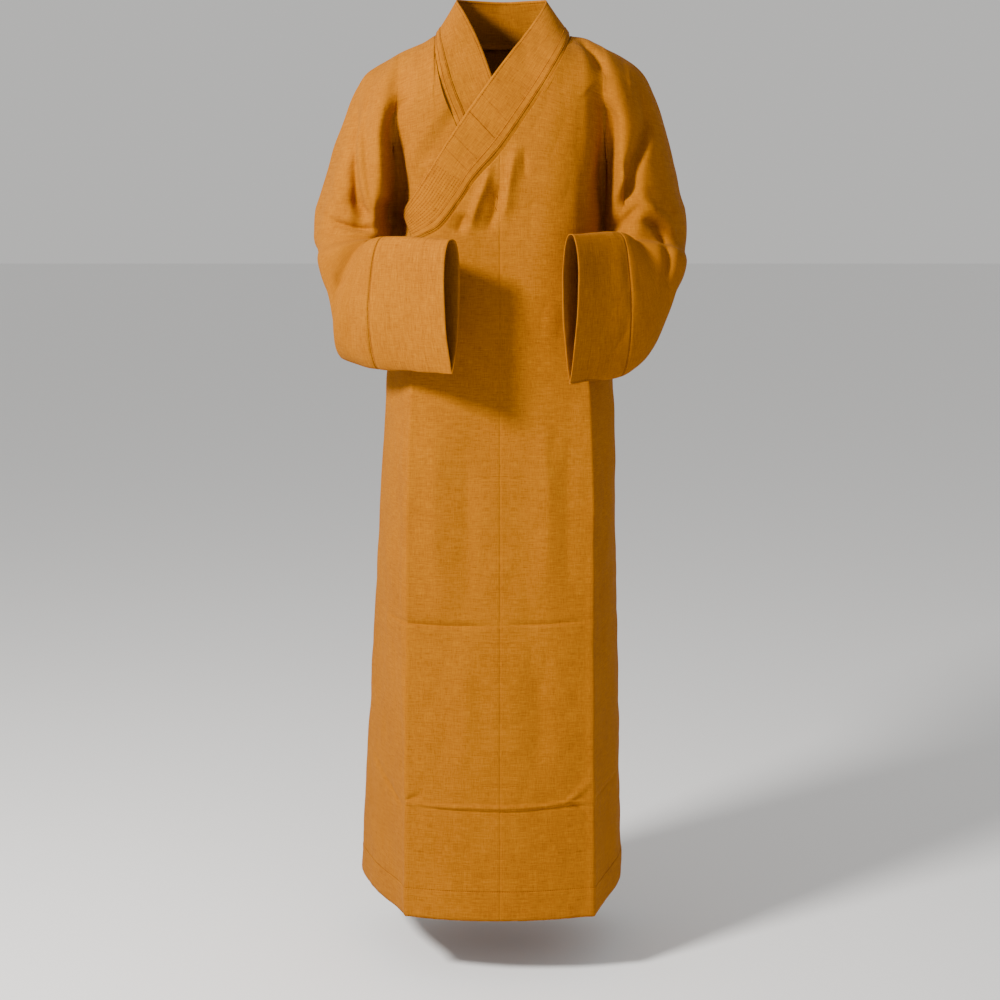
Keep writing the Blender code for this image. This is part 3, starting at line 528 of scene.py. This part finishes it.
def sleeve_point(side, row, angle):
    """A point on the sleeve at a row (0 at the elbow's level, 7 at the cuff) and an angle round it."""
    table = [(k,) + line for k, line in enumerate(SLEEVE[side])]
    x, y, z, turn, length, thick = [column(table, 0, k, row) for k in range(1, 7)]
    inward, outward = sleeve_axes(side)
    turn = np.radians(turn)
    along = -inward * np.cos(turn)[..., None] - np.array((0.0, 0.0, 1.0)) * np.sin(turn)[..., None]
    low = (1 - np.cos(angle)) / 2
    thick = thick * (1 - CUFF_FLAT * ease((row - 4.0) / 3.0) * low)
    flat = 0.75 + 0.25 * np.cos(turn) + 0.45 * ease((row - 3.0) / 3.0) * low
    wide = np.sign(np.sin(angle)) * np.abs(np.sin(angle)) ** flat
    start = np.stack([side * x, y, z], -1)
    return (start + along * (length * (1 - np.cos(angle)) / 2)[..., None]
            + outward * (thick / 2 * wide)[..., None])


# how finely the cloth is divided
BODY_STEPS = 78
ARM_STEPS = 66
MANTLE_STEPS = 96
SIDE_STEPS = 24
SKIRT_STEPS = 250
SLEEVE_STEPS = 74
SLEEVE_END_STEPS = 44
COLLAR_STEPS = 420
COLLAR_SHARES = np.concatenate([[COLLAR_TUCK, -0.02], np.linspace(0.0, 1.0, 28)])

WEAVE_Z = -0.9                                      # the skirt's weave is true at this height
ROW_LENGTH = SLEEVE_END / (CUFF_ROW - CUFF_SEAM)    # cloth in each row of the sleeve


def body_columns(side):
    """How far across the columns lie, with one moved to the shoulder corner of the neck."""
    corner = float(outline_x(side, 0.0)) / PINCH_TOP_X
    columns = np.linspace(0.0, 1.0, BODY_STEPS + 1) ** 1.2
    columns[np.argmin(np.abs(columns - corner))] = corner
    return columns


ARM_COLUMNS = (1.0 + ease(np.linspace(0.0, 1.0, ARM_STEPS + 1)) * 0.4
               + np.linspace(0.0, 0.6, ARM_STEPS + 1))


def covered(x, z):
    """How far the outer front and its collar cover a point of the right front: 0 bare, 1 covered."""
    start = np.array((0.012, -0.036))
    run = np.array((-0.125, -0.228)) - start
    run = run / np.linalg.norm(run)
    below = (x - start[0]) * -run[1] + (z - start[1]) * run[0]
    return ease((below + 0.036) / 0.025)


def arm_inset(points, columns):
    """How far the right front lies inside the outer one at points of the mantle."""
    return UNDERLAP * covered(points[..., 0], points[..., 2]) * (1 - ease((columns - 1.0) / UNDERLAP_ARM))


def measured(points):
    """Distance along a row of points, from 0."""
    return np.concatenate([[0.0], np.cumsum(np.linalg.norm(np.diff(points, axis=0), axis=1))])


def spread(start, end, steps, focus, width):
    """Places from start to end, closer together round each focus."""
    at = np.linspace(start, end, 4000)
    weight = 1 + 4 * sum(np.exp(-((at - f) / width) ** 2) for f in focus)
    total = np.cumsum(weight)
    total = (total - total[0]) / (total[-1] - total[0])
    return np.interp(np.linspace(0.0, 1.0, steps + 1), total, at)


class Sheet:
    """An open sheet: grids of points with the cloth's own coordinates, welded where they share an edge."""

    def __init__(self, name):
        self.name = name
        self.points = []
        self.cloth = []
        self.inset = []
        self.faces = []
        self.count = 0

    def grid(self, points, cloth, inset=0.0):
        rows, cols = points.shape[:2]
        index = self.count + np.arange(rows * cols).reshape(rows, cols)
        self.faces.append(np.stack([index[:-1, :-1], index[:-1, 1:], index[1:, 1:], index[1:, :-1]], -1)
                          .reshape(-1, 4))
        self.points.append(points.reshape(-1, 3))
        self.cloth.append(cloth.reshape(-1, 2))
        self.inset.append(np.broadcast_to(inset, (rows, cols)).reshape(-1))
        self.count += rows * cols

    def weld(self):
        """The grids as one mesh with a UV map of the cloth and each point's inset."""
        points = np.concatenate(self.points)
        faces = np.concatenate(self.faces)
        mesh = bpy.data.meshes.new(self.name)
        mesh.from_pydata(points.tolist(), [], faces.tolist())
        flat = mesh.uv_layers.new(name="cloth")
        flat.uv.foreach_set("vector", np.concatenate(self.cloth)[faces.ravel()].ravel().astype(np.float32))
        inset = mesh.attributes.new("inset", "FLOAT", "POINT")
        inset.data.foreach_set("value", np.concatenate(self.inset).astype(np.float32))
        work = bmesh.new()
        work.from_mesh(mesh)
        bmesh.ops.remove_doubles(work, verts=work.verts[:], dist=3e-5)
        bmesh.ops.recalc_face_normals(work, faces=work.faces[:])
        work.to_mesh(mesh)
        work.free()
        mesh.update()
        return mesh


def read_points(mesh):
    points = np.empty(len(mesh.vertices) * 3, np.float32)
    mesh.vertices.foreach_get("co", points)
    return points.reshape(-1, 3).astype(float)


def read_normals(mesh):
    normals = np.empty(len(mesh.vertices) * 3, np.float32)
    mesh.vertex_normals.foreach_get("vector", normals)
    return normals.reshape(-1, 3).astype(float)


def write_points(mesh, points):
    mesh.vertices.foreach_set("co", points.astype(np.float32).ravel())
    mesh.update()


def relax(mesh, share, times):
    """Evens the cloth out where share is above 0."""
    edges = np.empty(len(mesh.edges) * 2, np.int32)
    mesh.edges.foreach_get("vertices", edges)
    a, b = edges.reshape(-1, 2).T
    points = read_points(mesh)
    count = np.bincount(np.concatenate([a, b]), minlength=len(points)).astype(float)[:, None]
    for _ in range(times):
        near = np.stack([np.bincount(a, points[b, k], len(points)) + np.bincount(b, points[a, k], len(points))
                         for k in range(3)], -1)
        points += share[:, None] * (near / np.maximum(count, 1) - points)
    write_points(mesh, points)


def crease_field(creases, x, z):
    """Depth of all the creases of a table at places x, z."""
    total = np.zeros(len(x))
    for depth, upper, lower, path in creases:
        path = np.array(path)
        steps = np.concatenate([[0.0], np.cumsum(np.hypot(*np.diff(path, axis=0).T))])
        at = np.linspace(0.0, steps[-1], max(8, int(steps[-1] / CREASE_STEP)))
        line = np.stack([spline(steps, path[:, 0], at), spline(steps, path[:, 1], at)], -1)
        reach = 3 * max(upper, lower)
        near = ((x > line[:, 0].min() - reach) & (x < line[:, 0].max() + reach)
                & (z > line[:, 1].min() - reach) & (z < line[:, 1].max() + reach))
        if not near.any():
            continue
        px, pz = x[near][:, None], z[near][:, None]
        ax, az = line[:-1].T
        bx, bz = line[1:].T
        t, gap = along_line(px, pz, ax, az, bx, bz)
        k = gap.argmin(1)
        rows = np.arange(len(k))
        best = gap[rows, k]
        turn = (bx - ax)[k] * (pz[:, 0] - az[k]) - (bz - az)[k] * (px[:, 0] - ax[k])
        along = (k + t[rows, k]) / (len(line) - 1)
        ends = (ease(along / CREASE_ENDS) * ease((1 - along) / CREASE_ENDS) * (1 - CREASE_LEFT)
                + CREASE_LEFT * (along > 0) * (along < 1))
        width = np.where(turn > 0, upper, lower)
        total[near] += depth * ends * np.exp(-(best / width) ** CREASE_POWER)
    return total


def wander(points, scale, seed, stretch=(1.0, 1.0, 1.0)):
    """Smooth unevenness from -1 to 1, about scale metres across."""
    placed = points * np.array(stretch) / scale + seed
    return np.array([noise.noise(p) for p in placed.tolist()])


def settle(mesh, creased=True):
    """Moves the smooth sheet into the shape of worn cloth."""
    points = read_points(mesh)
    normals = read_normals(mesh)
    inset = np.empty(len(points), np.float32)
    mesh.attributes["inset"].data.foreach_get("value", inset)
    points -= normals * inset[:, None]
    front, back = [ease(facing * 2.2 - 0.1) for facing in (-normals[:, 1], normals[:, 1])]
    x, y, z = points.T
    if creased:
        deep = crease_field(FRONT_CREASES, x, z) * front + crease_field(BACK_CREASES, x, z) * back
        straight = np.array((0.0, 1 - CREASE_SQUARE, 0.0)) * np.sign(normals[:, 1])[:, None]
        inward = normals * CREASE_SQUARE + straight
        points = points - inward * deep[:, None]
    move = np.zeros(len(points))
    skirt = ease((CREASE_TOP_Z - z) / 0.10)
    for ridge, top_x, low_x, top_z, low_z in PRESSED:
        share = (z - top_z) / (low_z - top_z)
        line = top_x + (low_x - top_x) * np.clip(share, 0, 1) + PRESSED_WAVER * np.sin(z * PRESSED_TURNS)
        fade = ease(share / PRESSED_FADE)
        move -= ridge * fade * np.exp(-np.abs(x - line) / PRESSED_WIDTH) * front
    tall = wander(points, TALL_SIZE, 3.1, (1.0, 1.0, 0.22))
    soft = wander(points, SOFT_SIZE, 17.7)
    fine = 1 - 2 * np.abs(wander(points, FINE_SIZE, 41.3, (1.0, 1.0, 0.6)))
    move += tall * (TALL_DEPTH + TALL_SKIRT * skirt) + soft * SOFT_DEPTH + fine * FINE_DEPTH
    move += GROOVE * np.exp(-(x / GROOVE_WIDTH) ** 2) * (front + back) * creased
    doubled = ease((HEM_Z + HEM_TURN - z) / HEM_STEP_RUN)
    move -= doubled * HEM_STEP * ease((z - HEM_Z) / HEM_EDGE)
    points -= normals * move[:, None]
    write_points(mesh, points)


def finish(sheet, mesh, colour, thickness=CLOTH):
    """The sheet as an object, with the cloth's thickness."""
    mesh.shade_smooth()
    piece = bpy.data.objects.new(sheet.name, mesh)
    bpy.context.scene.collection.objects.link(piece)
    solid = piece.modifiers.new("thickness", "SOLIDIFY")
    solid.thickness = thickness
    solid.offset = 0.0
    solid.use_quality_normals = True
    mesh.materials.append(colour)
    return piece


def mantle_grid(sheet, side, face):
    columns = np.concatenate([body_columns(side), ARM_COLUMNS[1:]])
    inner = len(body_columns(side))
    top = shoulder_z(side, columns * PINCH_TOP_X)
    open_neck = columns * PINCH_TOP_X < float(outline_x(side, 0.0)) - 1e-4
    first = np.where(open_neck, (top - neck_point(side, face, columns)[1]) / (top - UNDERARM_Z), 0.0)
    step = np.linspace(0.0, 1.0, MANTLE_STEPS + 1)[:, None] ** 1.15
    v = first + (1 - first) * step
    points = place(side, columns[None, :], v, face)
    points[-1, :inner] = ring(side, UNDERARM_Z, station_at(face, columns[:inner]))
    points[:, 0, 0] -= side * SEAM_LAP
    cloth = np.stack(np.broadcast_arrays(columns[None, :] * 0.16, v * 0.33), -1)
    inset = 0.0
    if side == RIGHT and face == "front":
        inset = arm_inset(points, columns[None, :])
    sheet.grid(points, cloth, inset)


def skirt_grid(sheet, side):
    front = station_at("front", body_columns(side))
    back = station_at("back", body_columns(side))[::-1]
    sides = np.linspace(FRONT_PINCH_T, BACK_PINCH_T, SIDE_STEPS + 1)[1:-1]
    t = np.concatenate([front, sides, back])
    z = spread(UNDERARM_Z, HEM_Z, SKIRT_STEPS, FOLD_LINES_Z, 0.010)[:, None]
    points = ring(side, z, t[None, :])
    points[:, 0, 0] -= side * SEAM_LAP
    points[:, -1, 0] -= side * SEAM_LAP
    run = measured(ring(side, WEAVE_Z, t))
    cloth = np.stack(np.broadcast_arrays(run[None, :], -z), -1)
    inset = 0.0
    if side == RIGHT:
        low = np.where(t > FRONT_PINCH_T, ease((UNDERARM_Z - z) / UNDERLAP_TOP), 1.0)
        inset = UNDERLAP * low * (1 - ease((t - UNDERLAP_BACK_T) / UNDERLAP_BACK_RUN))
    sheet.grid(points, cloth, inset)


def sleeve_start(side):
    """The sleeve's first ring: the arm's front, its back and the underarm, each point with its angle."""
    front = place(side, ARM_COLUMNS, 1.0, "front")
    front[0] = ring(side, UNDERARM_Z, FRONT_PINCH_T)
    back = place(side, ARM_COLUMNS[::-1], 1.0, "back")[1:-1]
    under = ring(side, UNDERARM_Z, np.linspace(BACK_PINCH_T, FRONT_PINCH_T, SIDE_STEPS + 1))
    points = np.concatenate([front, back, under])
    columns = np.concatenate([ARM_COLUMNS, ARM_COLUMNS[::-1][1:-1], np.ones(len(under))])
    zero = np.zeros(1)
    centre = (sleeve_point(side, zero, zero) + sleeve_point(side, zero, zero + math.pi))[0] / 2
    inward, outward = sleeve_axes(side)
    offset = points - centre
    return points, columns, np.arctan2(offset @ outward, offset @ inward)


def sleeve_grid(sheet, side, levels, tucked=0.0):
    """The sleeve from its first ring, at levels 0 to 7. tucked is how far each row lies inside the form."""
    points, columns, angle = sleeve_start(side)
    level = levels[:, None]
    turned = ease(level / SLEEVE_TURN_ROWS)
    share = turned[..., None]
    drop = SLEEVE_DROP * level * ((1 - np.cos(angle)) / 2) ** 1.5
    hung = np.broadcast_to(points, (len(levels),) + points.shape).copy()
    hung[..., 2] -= drop
    rows, angles = np.broadcast_arrays(level, angle[None, :])
    found = hung * (1 - share) + sleeve_point(side, rows, angles) * share
    inset = tucked
    if side == RIGHT and not np.any(tucked):
        inset = arm_inset(points, columns) * (points[:, 1] < 0) * (1 - turned)
    cloth = np.stack(np.broadcast_arrays(measured(found[-1])[None, :], level * ROW_LENGTH), -1)
    sheet.grid(found, cloth, inset)


def near_elbow(mesh):
    """How much the cloth is evened out where the sleeve doubles on itself."""
    points = read_points(mesh)
    gap = np.hypot((points[:, 2] + 0.315) / 0.050, np.maximum(0.175 - np.abs(points[:, 0]), 0) / 0.02)
    return 0.5 * (1 - ease((gap - 0.4) / 0.8)) * ease((points[:, 1] + 0.135) / 0.025)


def body_half(side, colour):
    sheet = Sheet("robe_body_left" if side == LEFT else "robe_body_right")
    mantle_grid(sheet, side, "front")
    mantle_grid(sheet, side, "back")
    skirt_grid(sheet, side)
    sleeve_grid(sheet, side, np.linspace(0.0, CUFF_SEAM, SLEEVE_STEPS + 1))
    mesh = sheet.weld()
    relax(mesh, near_elbow(mesh), 60)
    settle(mesh)
    return finish(sheet, mesh, colour)


def sleeve_end(side, colour):
    sheet = Sheet("robe_sleeve_end_left" if side == LEFT else "robe_sleeve_end_right")
    levels = np.linspace(CUFF_SEAM - 0.06, CUFF_ROW, SLEEVE_END_STEPS + 1)
    sleeve_grid(sheet, side, levels, SEAM_TUCK * (1 - ease((levels[:, None] - CUFF_SEAM) / 0.04)))
    mesh = sheet.weld()
    settle(mesh)
    return finish(sheet, mesh, colour)


def overlap(colour):
    sheet = Sheet("robe_front_overlap")
    bend = float(station_at("front", OVERLAP_BEND_C))
    columns = body_columns(RIGHT)
    t = np.concatenate([station_at("front", columns[columns < OVERLAP_BEND_C]), [bend],
                        np.linspace(bend, OVERLAP_SIDE_T, 26)[1:]])
    c = station_c(t)
    z = np.full(len(t), UNDERARM_Z)
    for _ in range(10):
        z = neck_z(OUTER_NECK, -c * pinch_x(np.maximum(z, UNDERARM_Z)))
    bend_z = float(np.interp(bend, t, z))
    slope = np.minimum((t - bend) / (OVERLAP_LEVEL_T - bend), 1.0)
    top = np.where(t <= bend, z, bend_z + (OVERLAP_SIDE_Z - bend_z) * slope)
    upper = top[None, :] + (OVERLAP_EVEN_Z - top[None, :]) * np.linspace(0.0, 1.0, 72)[:, None]
    lower = spread(OVERLAP_EVEN_Z, HEM_Z, 235, FOLD_LINES_Z, 0.010)[1:, None] + 0 * t[None, :]
    z = np.concatenate([upper, lower])
    points = body_point(RIGHT, t[None, :], z)
    points[:, 0, 0] += SEAM_LAP
    run = measured(ring(RIGHT, WEAVE_Z, t))
    sheet.grid(points, np.stack(np.broadcast_arrays(run[None, :], -z), -1))
    mesh = sheet.weld()
    settle(mesh)
    return finish(sheet, mesh, colour)


def collar_row(at):
    """The collar table read smoothly between its rows."""
    return [spline(range(len(COLLAR)), [row[k] for row in COLLAR], at) for k in range(6)]


def collar_seam(at):
    seam_x = collar_row(at)[0]
    side_left = (seam_x >= 0) & (at > 1)
    found = np.zeros(at.shape + (3,))
    for side, mask in ((LEFT, side_left), (RIGHT, ~side_left)):
        for sheet, line, part in (("front", OUTER_NECK, at >= LEFT_CORNER),
                                  ("front", INNER_NECK, at <= RIGHT_CORNER),
                                  ("back", None, (at > RIGHT_CORNER) & (at < LEFT_CORNER))):
            here = mask & part
            x = seam_x[here]
            z = neck_z(line, x) if line else neck_cut(side, "back", np.abs(x))
            found[here] = on_sheet(side, sheet, np.abs(x), z)
    return found


def collar_grid(shares):
    """Points of the collar and the cloth's coordinates, at shares of its width from its seam."""
    at = np.linspace(0.0, len(COLLAR) - 1.0, COLLAR_STEPS + 1)
    row = collar_row(at)
    base = collar_seam(at)[:, None, :]
    edge = np.stack(row[1:4], -1)[:, None, :]
    points = base + (edge - base) * shares[None, :, None]
    laid = row[4][:, None]
    x = np.abs(points[..., 0])
    chest = np.where(points[..., 0] >= 0, sheet_y(LEFT, "front", x, points[..., 2]),
                     sheet_y(RIGHT, "front", x, points[..., 2]))
    points[..., 1] += (chest - points[..., 1]) * laid * (shares[None, :] > 0)
    points[..., 1] += UNDERLAP * row[5][:, None]
    line = base[:, 0] + (edge - base)[:, 0]
    run = measured(line)
    heading = np.gradient(line, axis=0)
    heading /= np.linalg.norm(heading, axis=1)[:, None]
    beside = np.einsum("ijk,ik->ij", points - line[:, None, :], heading)
    return points, np.stack(np.broadcast_arrays(run[:, None] + beside, shares[None, :] * COLLAR_WIDTH), -1)


def collar(name, shares, colour, inset, thickness):
    sheet = Sheet(name)
    points, cloth = collar_grid(shares)
    sheet.grid(points, cloth, inset)
    mesh = sheet.weld()
    settle(mesh, False)
    return finish(sheet, mesh, colour, thickness)


# ---- cloth material

THREAD = 0.0011         # from one thread to the next but one
DARK = (0.130, 0.030, 0.0002, 1)
MIDDLE = (0.300, 0.097, 0.0006, 1)
LIGHT = (0.46, 0.175, 0.0030, 1)


def make_cloth(name, extra):
    """Saffron cotton and linen: plain weave with slubs. extra gives the stitching sunk into it, 0 to 1."""
    made = bpy.data.materials.new(name)
    made.use_nodes = True
    tree = made.node_tree
    shader = tree.nodes["Principled BSDF"]
    links = tree.links

    def feed(socket, value):
        if hasattr(value, "is_output"):
            links.new(value, socket)
        else:
            socket.default_value = value

    def node(kind, **inputs):
        new = tree.nodes.new(kind)
        for key, value in inputs.items():
            feed(new.inputs[key.replace("_", " ")], value)
        return new

    def maths(kind, a, b=0.0, c=0.0):
        new = tree.nodes.new("ShaderNodeMath")
        new.operation = kind
        for socket, value in zip(new.inputs, (a, b, c)):
            feed(socket, value)
        return new.outputs[0]

    def mixed(*parts):
        """The sum of parts, each a value, what is taken off it and its strength."""
        total = 0.0
        for value, middle, strength in parts:
            total = maths("ADD", total, maths("MULTIPLY", maths("SUBTRACT", value, middle), strength))
        return total

    uv = tree.nodes.new("ShaderNodeUVMap")
    uv.uv_map = "cloth"
    split = node("ShaderNodeSeparateXYZ", Vector=uv.outputs[0])
    u, v = split.outputs[0], split.outputs[1]

    def streaks(across_scale, along_scale, swap, detail=2.0):
        first, second = (v, u) if swap else (u, v)
        joined = node("ShaderNodeCombineXYZ", X=maths("MULTIPLY", first, across_scale),
                      Y=maths("MULTIPLY", second, along_scale), Z=7.0 if swap else 2.0)
        return node("ShaderNodeTexNoise", Vector=joined.outputs[0], Scale=1.0, Detail=detail,
                    Roughness=0.6).outputs["Fac"]

    warp = streaks(1150.0, 95.0, False)
    weft = streaks(1050.0, 70.0, True)
    slub = streaks(420.0, 22.0, True, 3.0)
    slub_warp = streaks(460.0, 20.0, False, 3.0)
    thread_u = maths("SINE", maths("MULTIPLY", u, 2 * math.pi / THREAD))
    thread_v = maths("SINE", maths("MULTIPLY", v, 2 * math.pi / THREAD))
    weave = maths("MULTIPLY", thread_u, thread_v)
    cloud = node("ShaderNodeTexNoise", Vector=uv.outputs[0], Scale=9.0, Detail=3.0,
                 Roughness=0.55).outputs["Fac"]

    stitch = extra(u, v, maths)
    tone = mixed((warp, 0.5, 0.60), (weft, 0.5, 0.70), (slub, 0.5, 0.42), (slub_warp, 0.5, 0.30),
                 (weave, 0.0, 0.035), (cloud, 0.5, 0.22), (0.5, 0.0, 1.0), (stitch, 0.0, -0.42))
    ramp = tree.nodes.new("ShaderNodeValToRGB")
    stops = ramp.color_ramp.elements
    stops[0].position = 0.0
    stops[0].color = DARK
    stops[1].position = 1.0
    stops[1].color = LIGHT
    stops.new(0.5).color = MIDDLE
    links.new(tone, ramp.inputs[0])
    links.new(ramp.outputs[0], shader.inputs["Base Color"])
    shader.inputs["Roughness"].default_value = 0.88
    shader.inputs["Specular IOR Level"].default_value = 0.08
    shader.inputs["Sheen Weight"].default_value = 0.03
    shader.inputs["Sheen Roughness"].default_value = 0.5
    shader.inputs["Sheen Tint"].default_value = (1.0, 0.72, 0.35, 1)
    height = mixed((weave, 0.0, 0.00006), (weft, 0.0, 0.00035), (warp, 0.0, 0.00030), (slub, 0.0, 0.00030),
                   (stitch, 0.0, -0.0006))
    bump = node("ShaderNodeBump", Height=height, Strength=0.7, Distance=1.0)
    links.new(bump.outputs[0], shader.inputs["Normal"])
    return made


def seam_line(maths, at, middle, width):
    """1 on a line where the coordinate is at the middle, falling to 0 at width."""
    gap = maths("ABSOLUTE", maths("SUBTRACT", at, middle))
    return maths("MAXIMUM", maths("SUBTRACT", 1.0, maths("DIVIDE", gap, width)), 0.0)


STITCH = 0.0034          # from one stitch to the next


def dashes(maths, at, pitch=STITCH):
    """The stitches along a line, 0.3 between them and 1 on them."""
    wave = maths("SINE", maths("MULTIPLY", at, 2 * math.pi / pitch))
    return maths("ADD", maths("MULTIPLY", wave, 0.35), 0.65)


def between(maths, at, low, high):
    return maths("MULTIPLY", maths("GREATER_THAN", at, low), maths("LESS_THAN", at, high))


def skirt_stitch(u, v, maths):
    return maths("MULTIPLY", seam_line(maths, v, -HEM_Z - HEM_TURN, 0.0012), dashes(maths, u))


CUFF_TURN = 0.030        # the cuff's stitching is this far from its edge


def sleeve_stitch(u, v, maths):
    seam = seam_line(maths, v, CUFF_SEAM * ROW_LENGTH + 0.0022, 0.0012)
    cuff = maths("MULTIPLY", seam_line(maths, v, CUFF_ROW * ROW_LENGTH - CUFF_TURN, 0.0011), dashes(maths, u))
    return maths("ADD", seam, maths("MULTIPLY", cuff, 0.4))


EDGE_STITCH = 0.0660     # the collar's top stitching, from its seam
QUILT_START = 0.868      # where the quilted section begins, along the collar, and its rows' spacing
QUILT_ROW = 0.0048
CROSS_LINES = (          # the lines across the collar: how far along it, and how strong
    (0.748, 0.4), (0.778, 1.0), (0.818, 0.5), (0.840, 0.5))
CROSS_SLANT = -0.20      # how far they lean off square


def collar_stitch(u, v, maths):
    total = maths("MULTIPLY", seam_line(maths, v, EDGE_STITCH, 0.0011), dashes(maths, u))
    leaning = maths("ADD", u, maths("MULTIPLY", maths("SUBTRACT", COLLAR_WIDTH, v), CROSS_SLANT))
    for along, strength in CROSS_LINES:
        line = maths("MULTIPLY", seam_line(maths, leaning, along, 0.0012),
                     between(maths, v, 0.018, EDGE_STITCH))
        total = maths("ADD", total, maths("MULTIPLY", line, strength))
    rows = maths("POWER", maths("ABSOLUTE", maths("SINE", maths("MULTIPLY", v, math.pi / QUILT_ROW))), 6.0)
    runs = maths("MULTIPLY", rows, dashes(maths, u, 0.0040))
    quilt = maths("MULTIPLY", runs, maths("GREATER_THAN", u, QUILT_START))
    return maths("ADD", total, maths("MULTIPLY", quilt, 0.8))


BORDER_STITCH = 0.0016   # from each edge of the border


def border_stitch(u, v, maths):
    low, high = [share * COLLAR_WIDTH for share in BORDER_ACROSS]
    return maths("ADD", seam_line(maths, v, low + BORDER_STITCH, 0.0010),
                 seam_line(maths, v, high - BORDER_STITCH, 0.0010))


# ---- build

made = []
for side, name in ((LEFT, "left"), (RIGHT, "right")):
    made.append((body_half(side, make_cloth("body_" + name + "_cloth", skirt_stitch)), "body_" + name))
    made.append((sleeve_end(side, make_cloth("sleeve_end_" + name + "_cloth", sleeve_stitch)),
                 "sleeve_end_" + name))
made.append((overlap(make_cloth("front_overlap_cloth", skirt_stitch)), "front_overlap"))
collar_inset = COLLAR_SINK * (1 - ease((COLLAR_SHARES - 0.01) / 0.04))
made.append((collar("robe_collar_band", COLLAR_SHARES, make_cloth("collar_band_cloth", collar_stitch),
                    collar_inset, COLLAR_CLOTH), "collar_band"))
made.append((collar("robe_collar_border", np.linspace(*BORDER_ACROSS, 10),
                    make_cloth("collar_border_cloth", border_stitch), -RIM, BORDER_CLOTH), "collar_border"))

# each piece hangs from the root, and the imported part it stands for is hidden
for piece, node_name in made:
    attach(piece, "root")
    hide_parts(node_name)

# ---- floor, light and camera

def area_light(name, start, aim, size, power, colour):
    data = bpy.data.lights.new(name, "AREA")
    data.shape = "DISK"
    data.size = size
    data.energy = power
    data.color = colour
    lamp = bpy.data.objects.new(name, data)
    lamp.location = start
    lamp.rotation_euler = (Vector(aim) - Vector(start)).to_track_quat("-Z", "Y").to_euler()
    bpy.context.scene.collection.objects.link(lamp)


FLOOR_Z = -1.43         # below the hem, where the wearer's feet would stand
CAMERA_DROP = 0.1577    # how far the camera looks down for each metre ahead
bpy.ops.mesh.primitive_plane_add(size=60.0, location=(0.0, 0.0, FLOOR_Z))
floor = bpy.context.object
floor.name = "floor"
floor_look = bpy.data.materials.new("floor")
floor_look.use_nodes = True
floor_shader = floor_look.node_tree.nodes["Principled BSDF"]
floor_shader.inputs["Base Color"].default_value = (0.86, 0.86, 0.86, 1)
floor_shader.inputs["Roughness"].default_value = 0.9
floor.data.materials.append(floor_look)
floor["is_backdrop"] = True

world = bpy.data.worlds.new("studio")
world.use_nodes = True
background = world.node_tree.nodes["Background"]
background.inputs["Color"].default_value = (1.0, 0.99, 0.97, 1)
background.inputs["Strength"].default_value = 0.60
bpy.context.scene.world = world
area_light("key", (-1.65, -1.55, 0.85), (-0.05, 0.0, -0.45), 0.5, 165.0, (1.0, 0.97, 0.93))
area_light("fill", (1.6, -3.0, 0.6), (0.0, 0.0, -0.6), 1.6, 8.0, (0.95, 0.97, 1.0))

camera_data = bpy.data.cameras.new("camera")
camera_data.lens = 70.56
camera = bpy.data.objects.new("camera", camera_data)
camera.location = (0.0, -3.0, -0.23)
camera.rotation_euler = (math.pi / 2 - math.atan(CAMERA_DROP), 0.0, 0.0)
bpy.context.scene.collection.objects.link(camera)
bpy.context.scene.camera = camera


def plain(value):
    return [plain(v) for v in value] if hasattr(value, "__len__") else float(value)


{"cad": plain(cad_bounds), "visual": plain(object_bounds())}
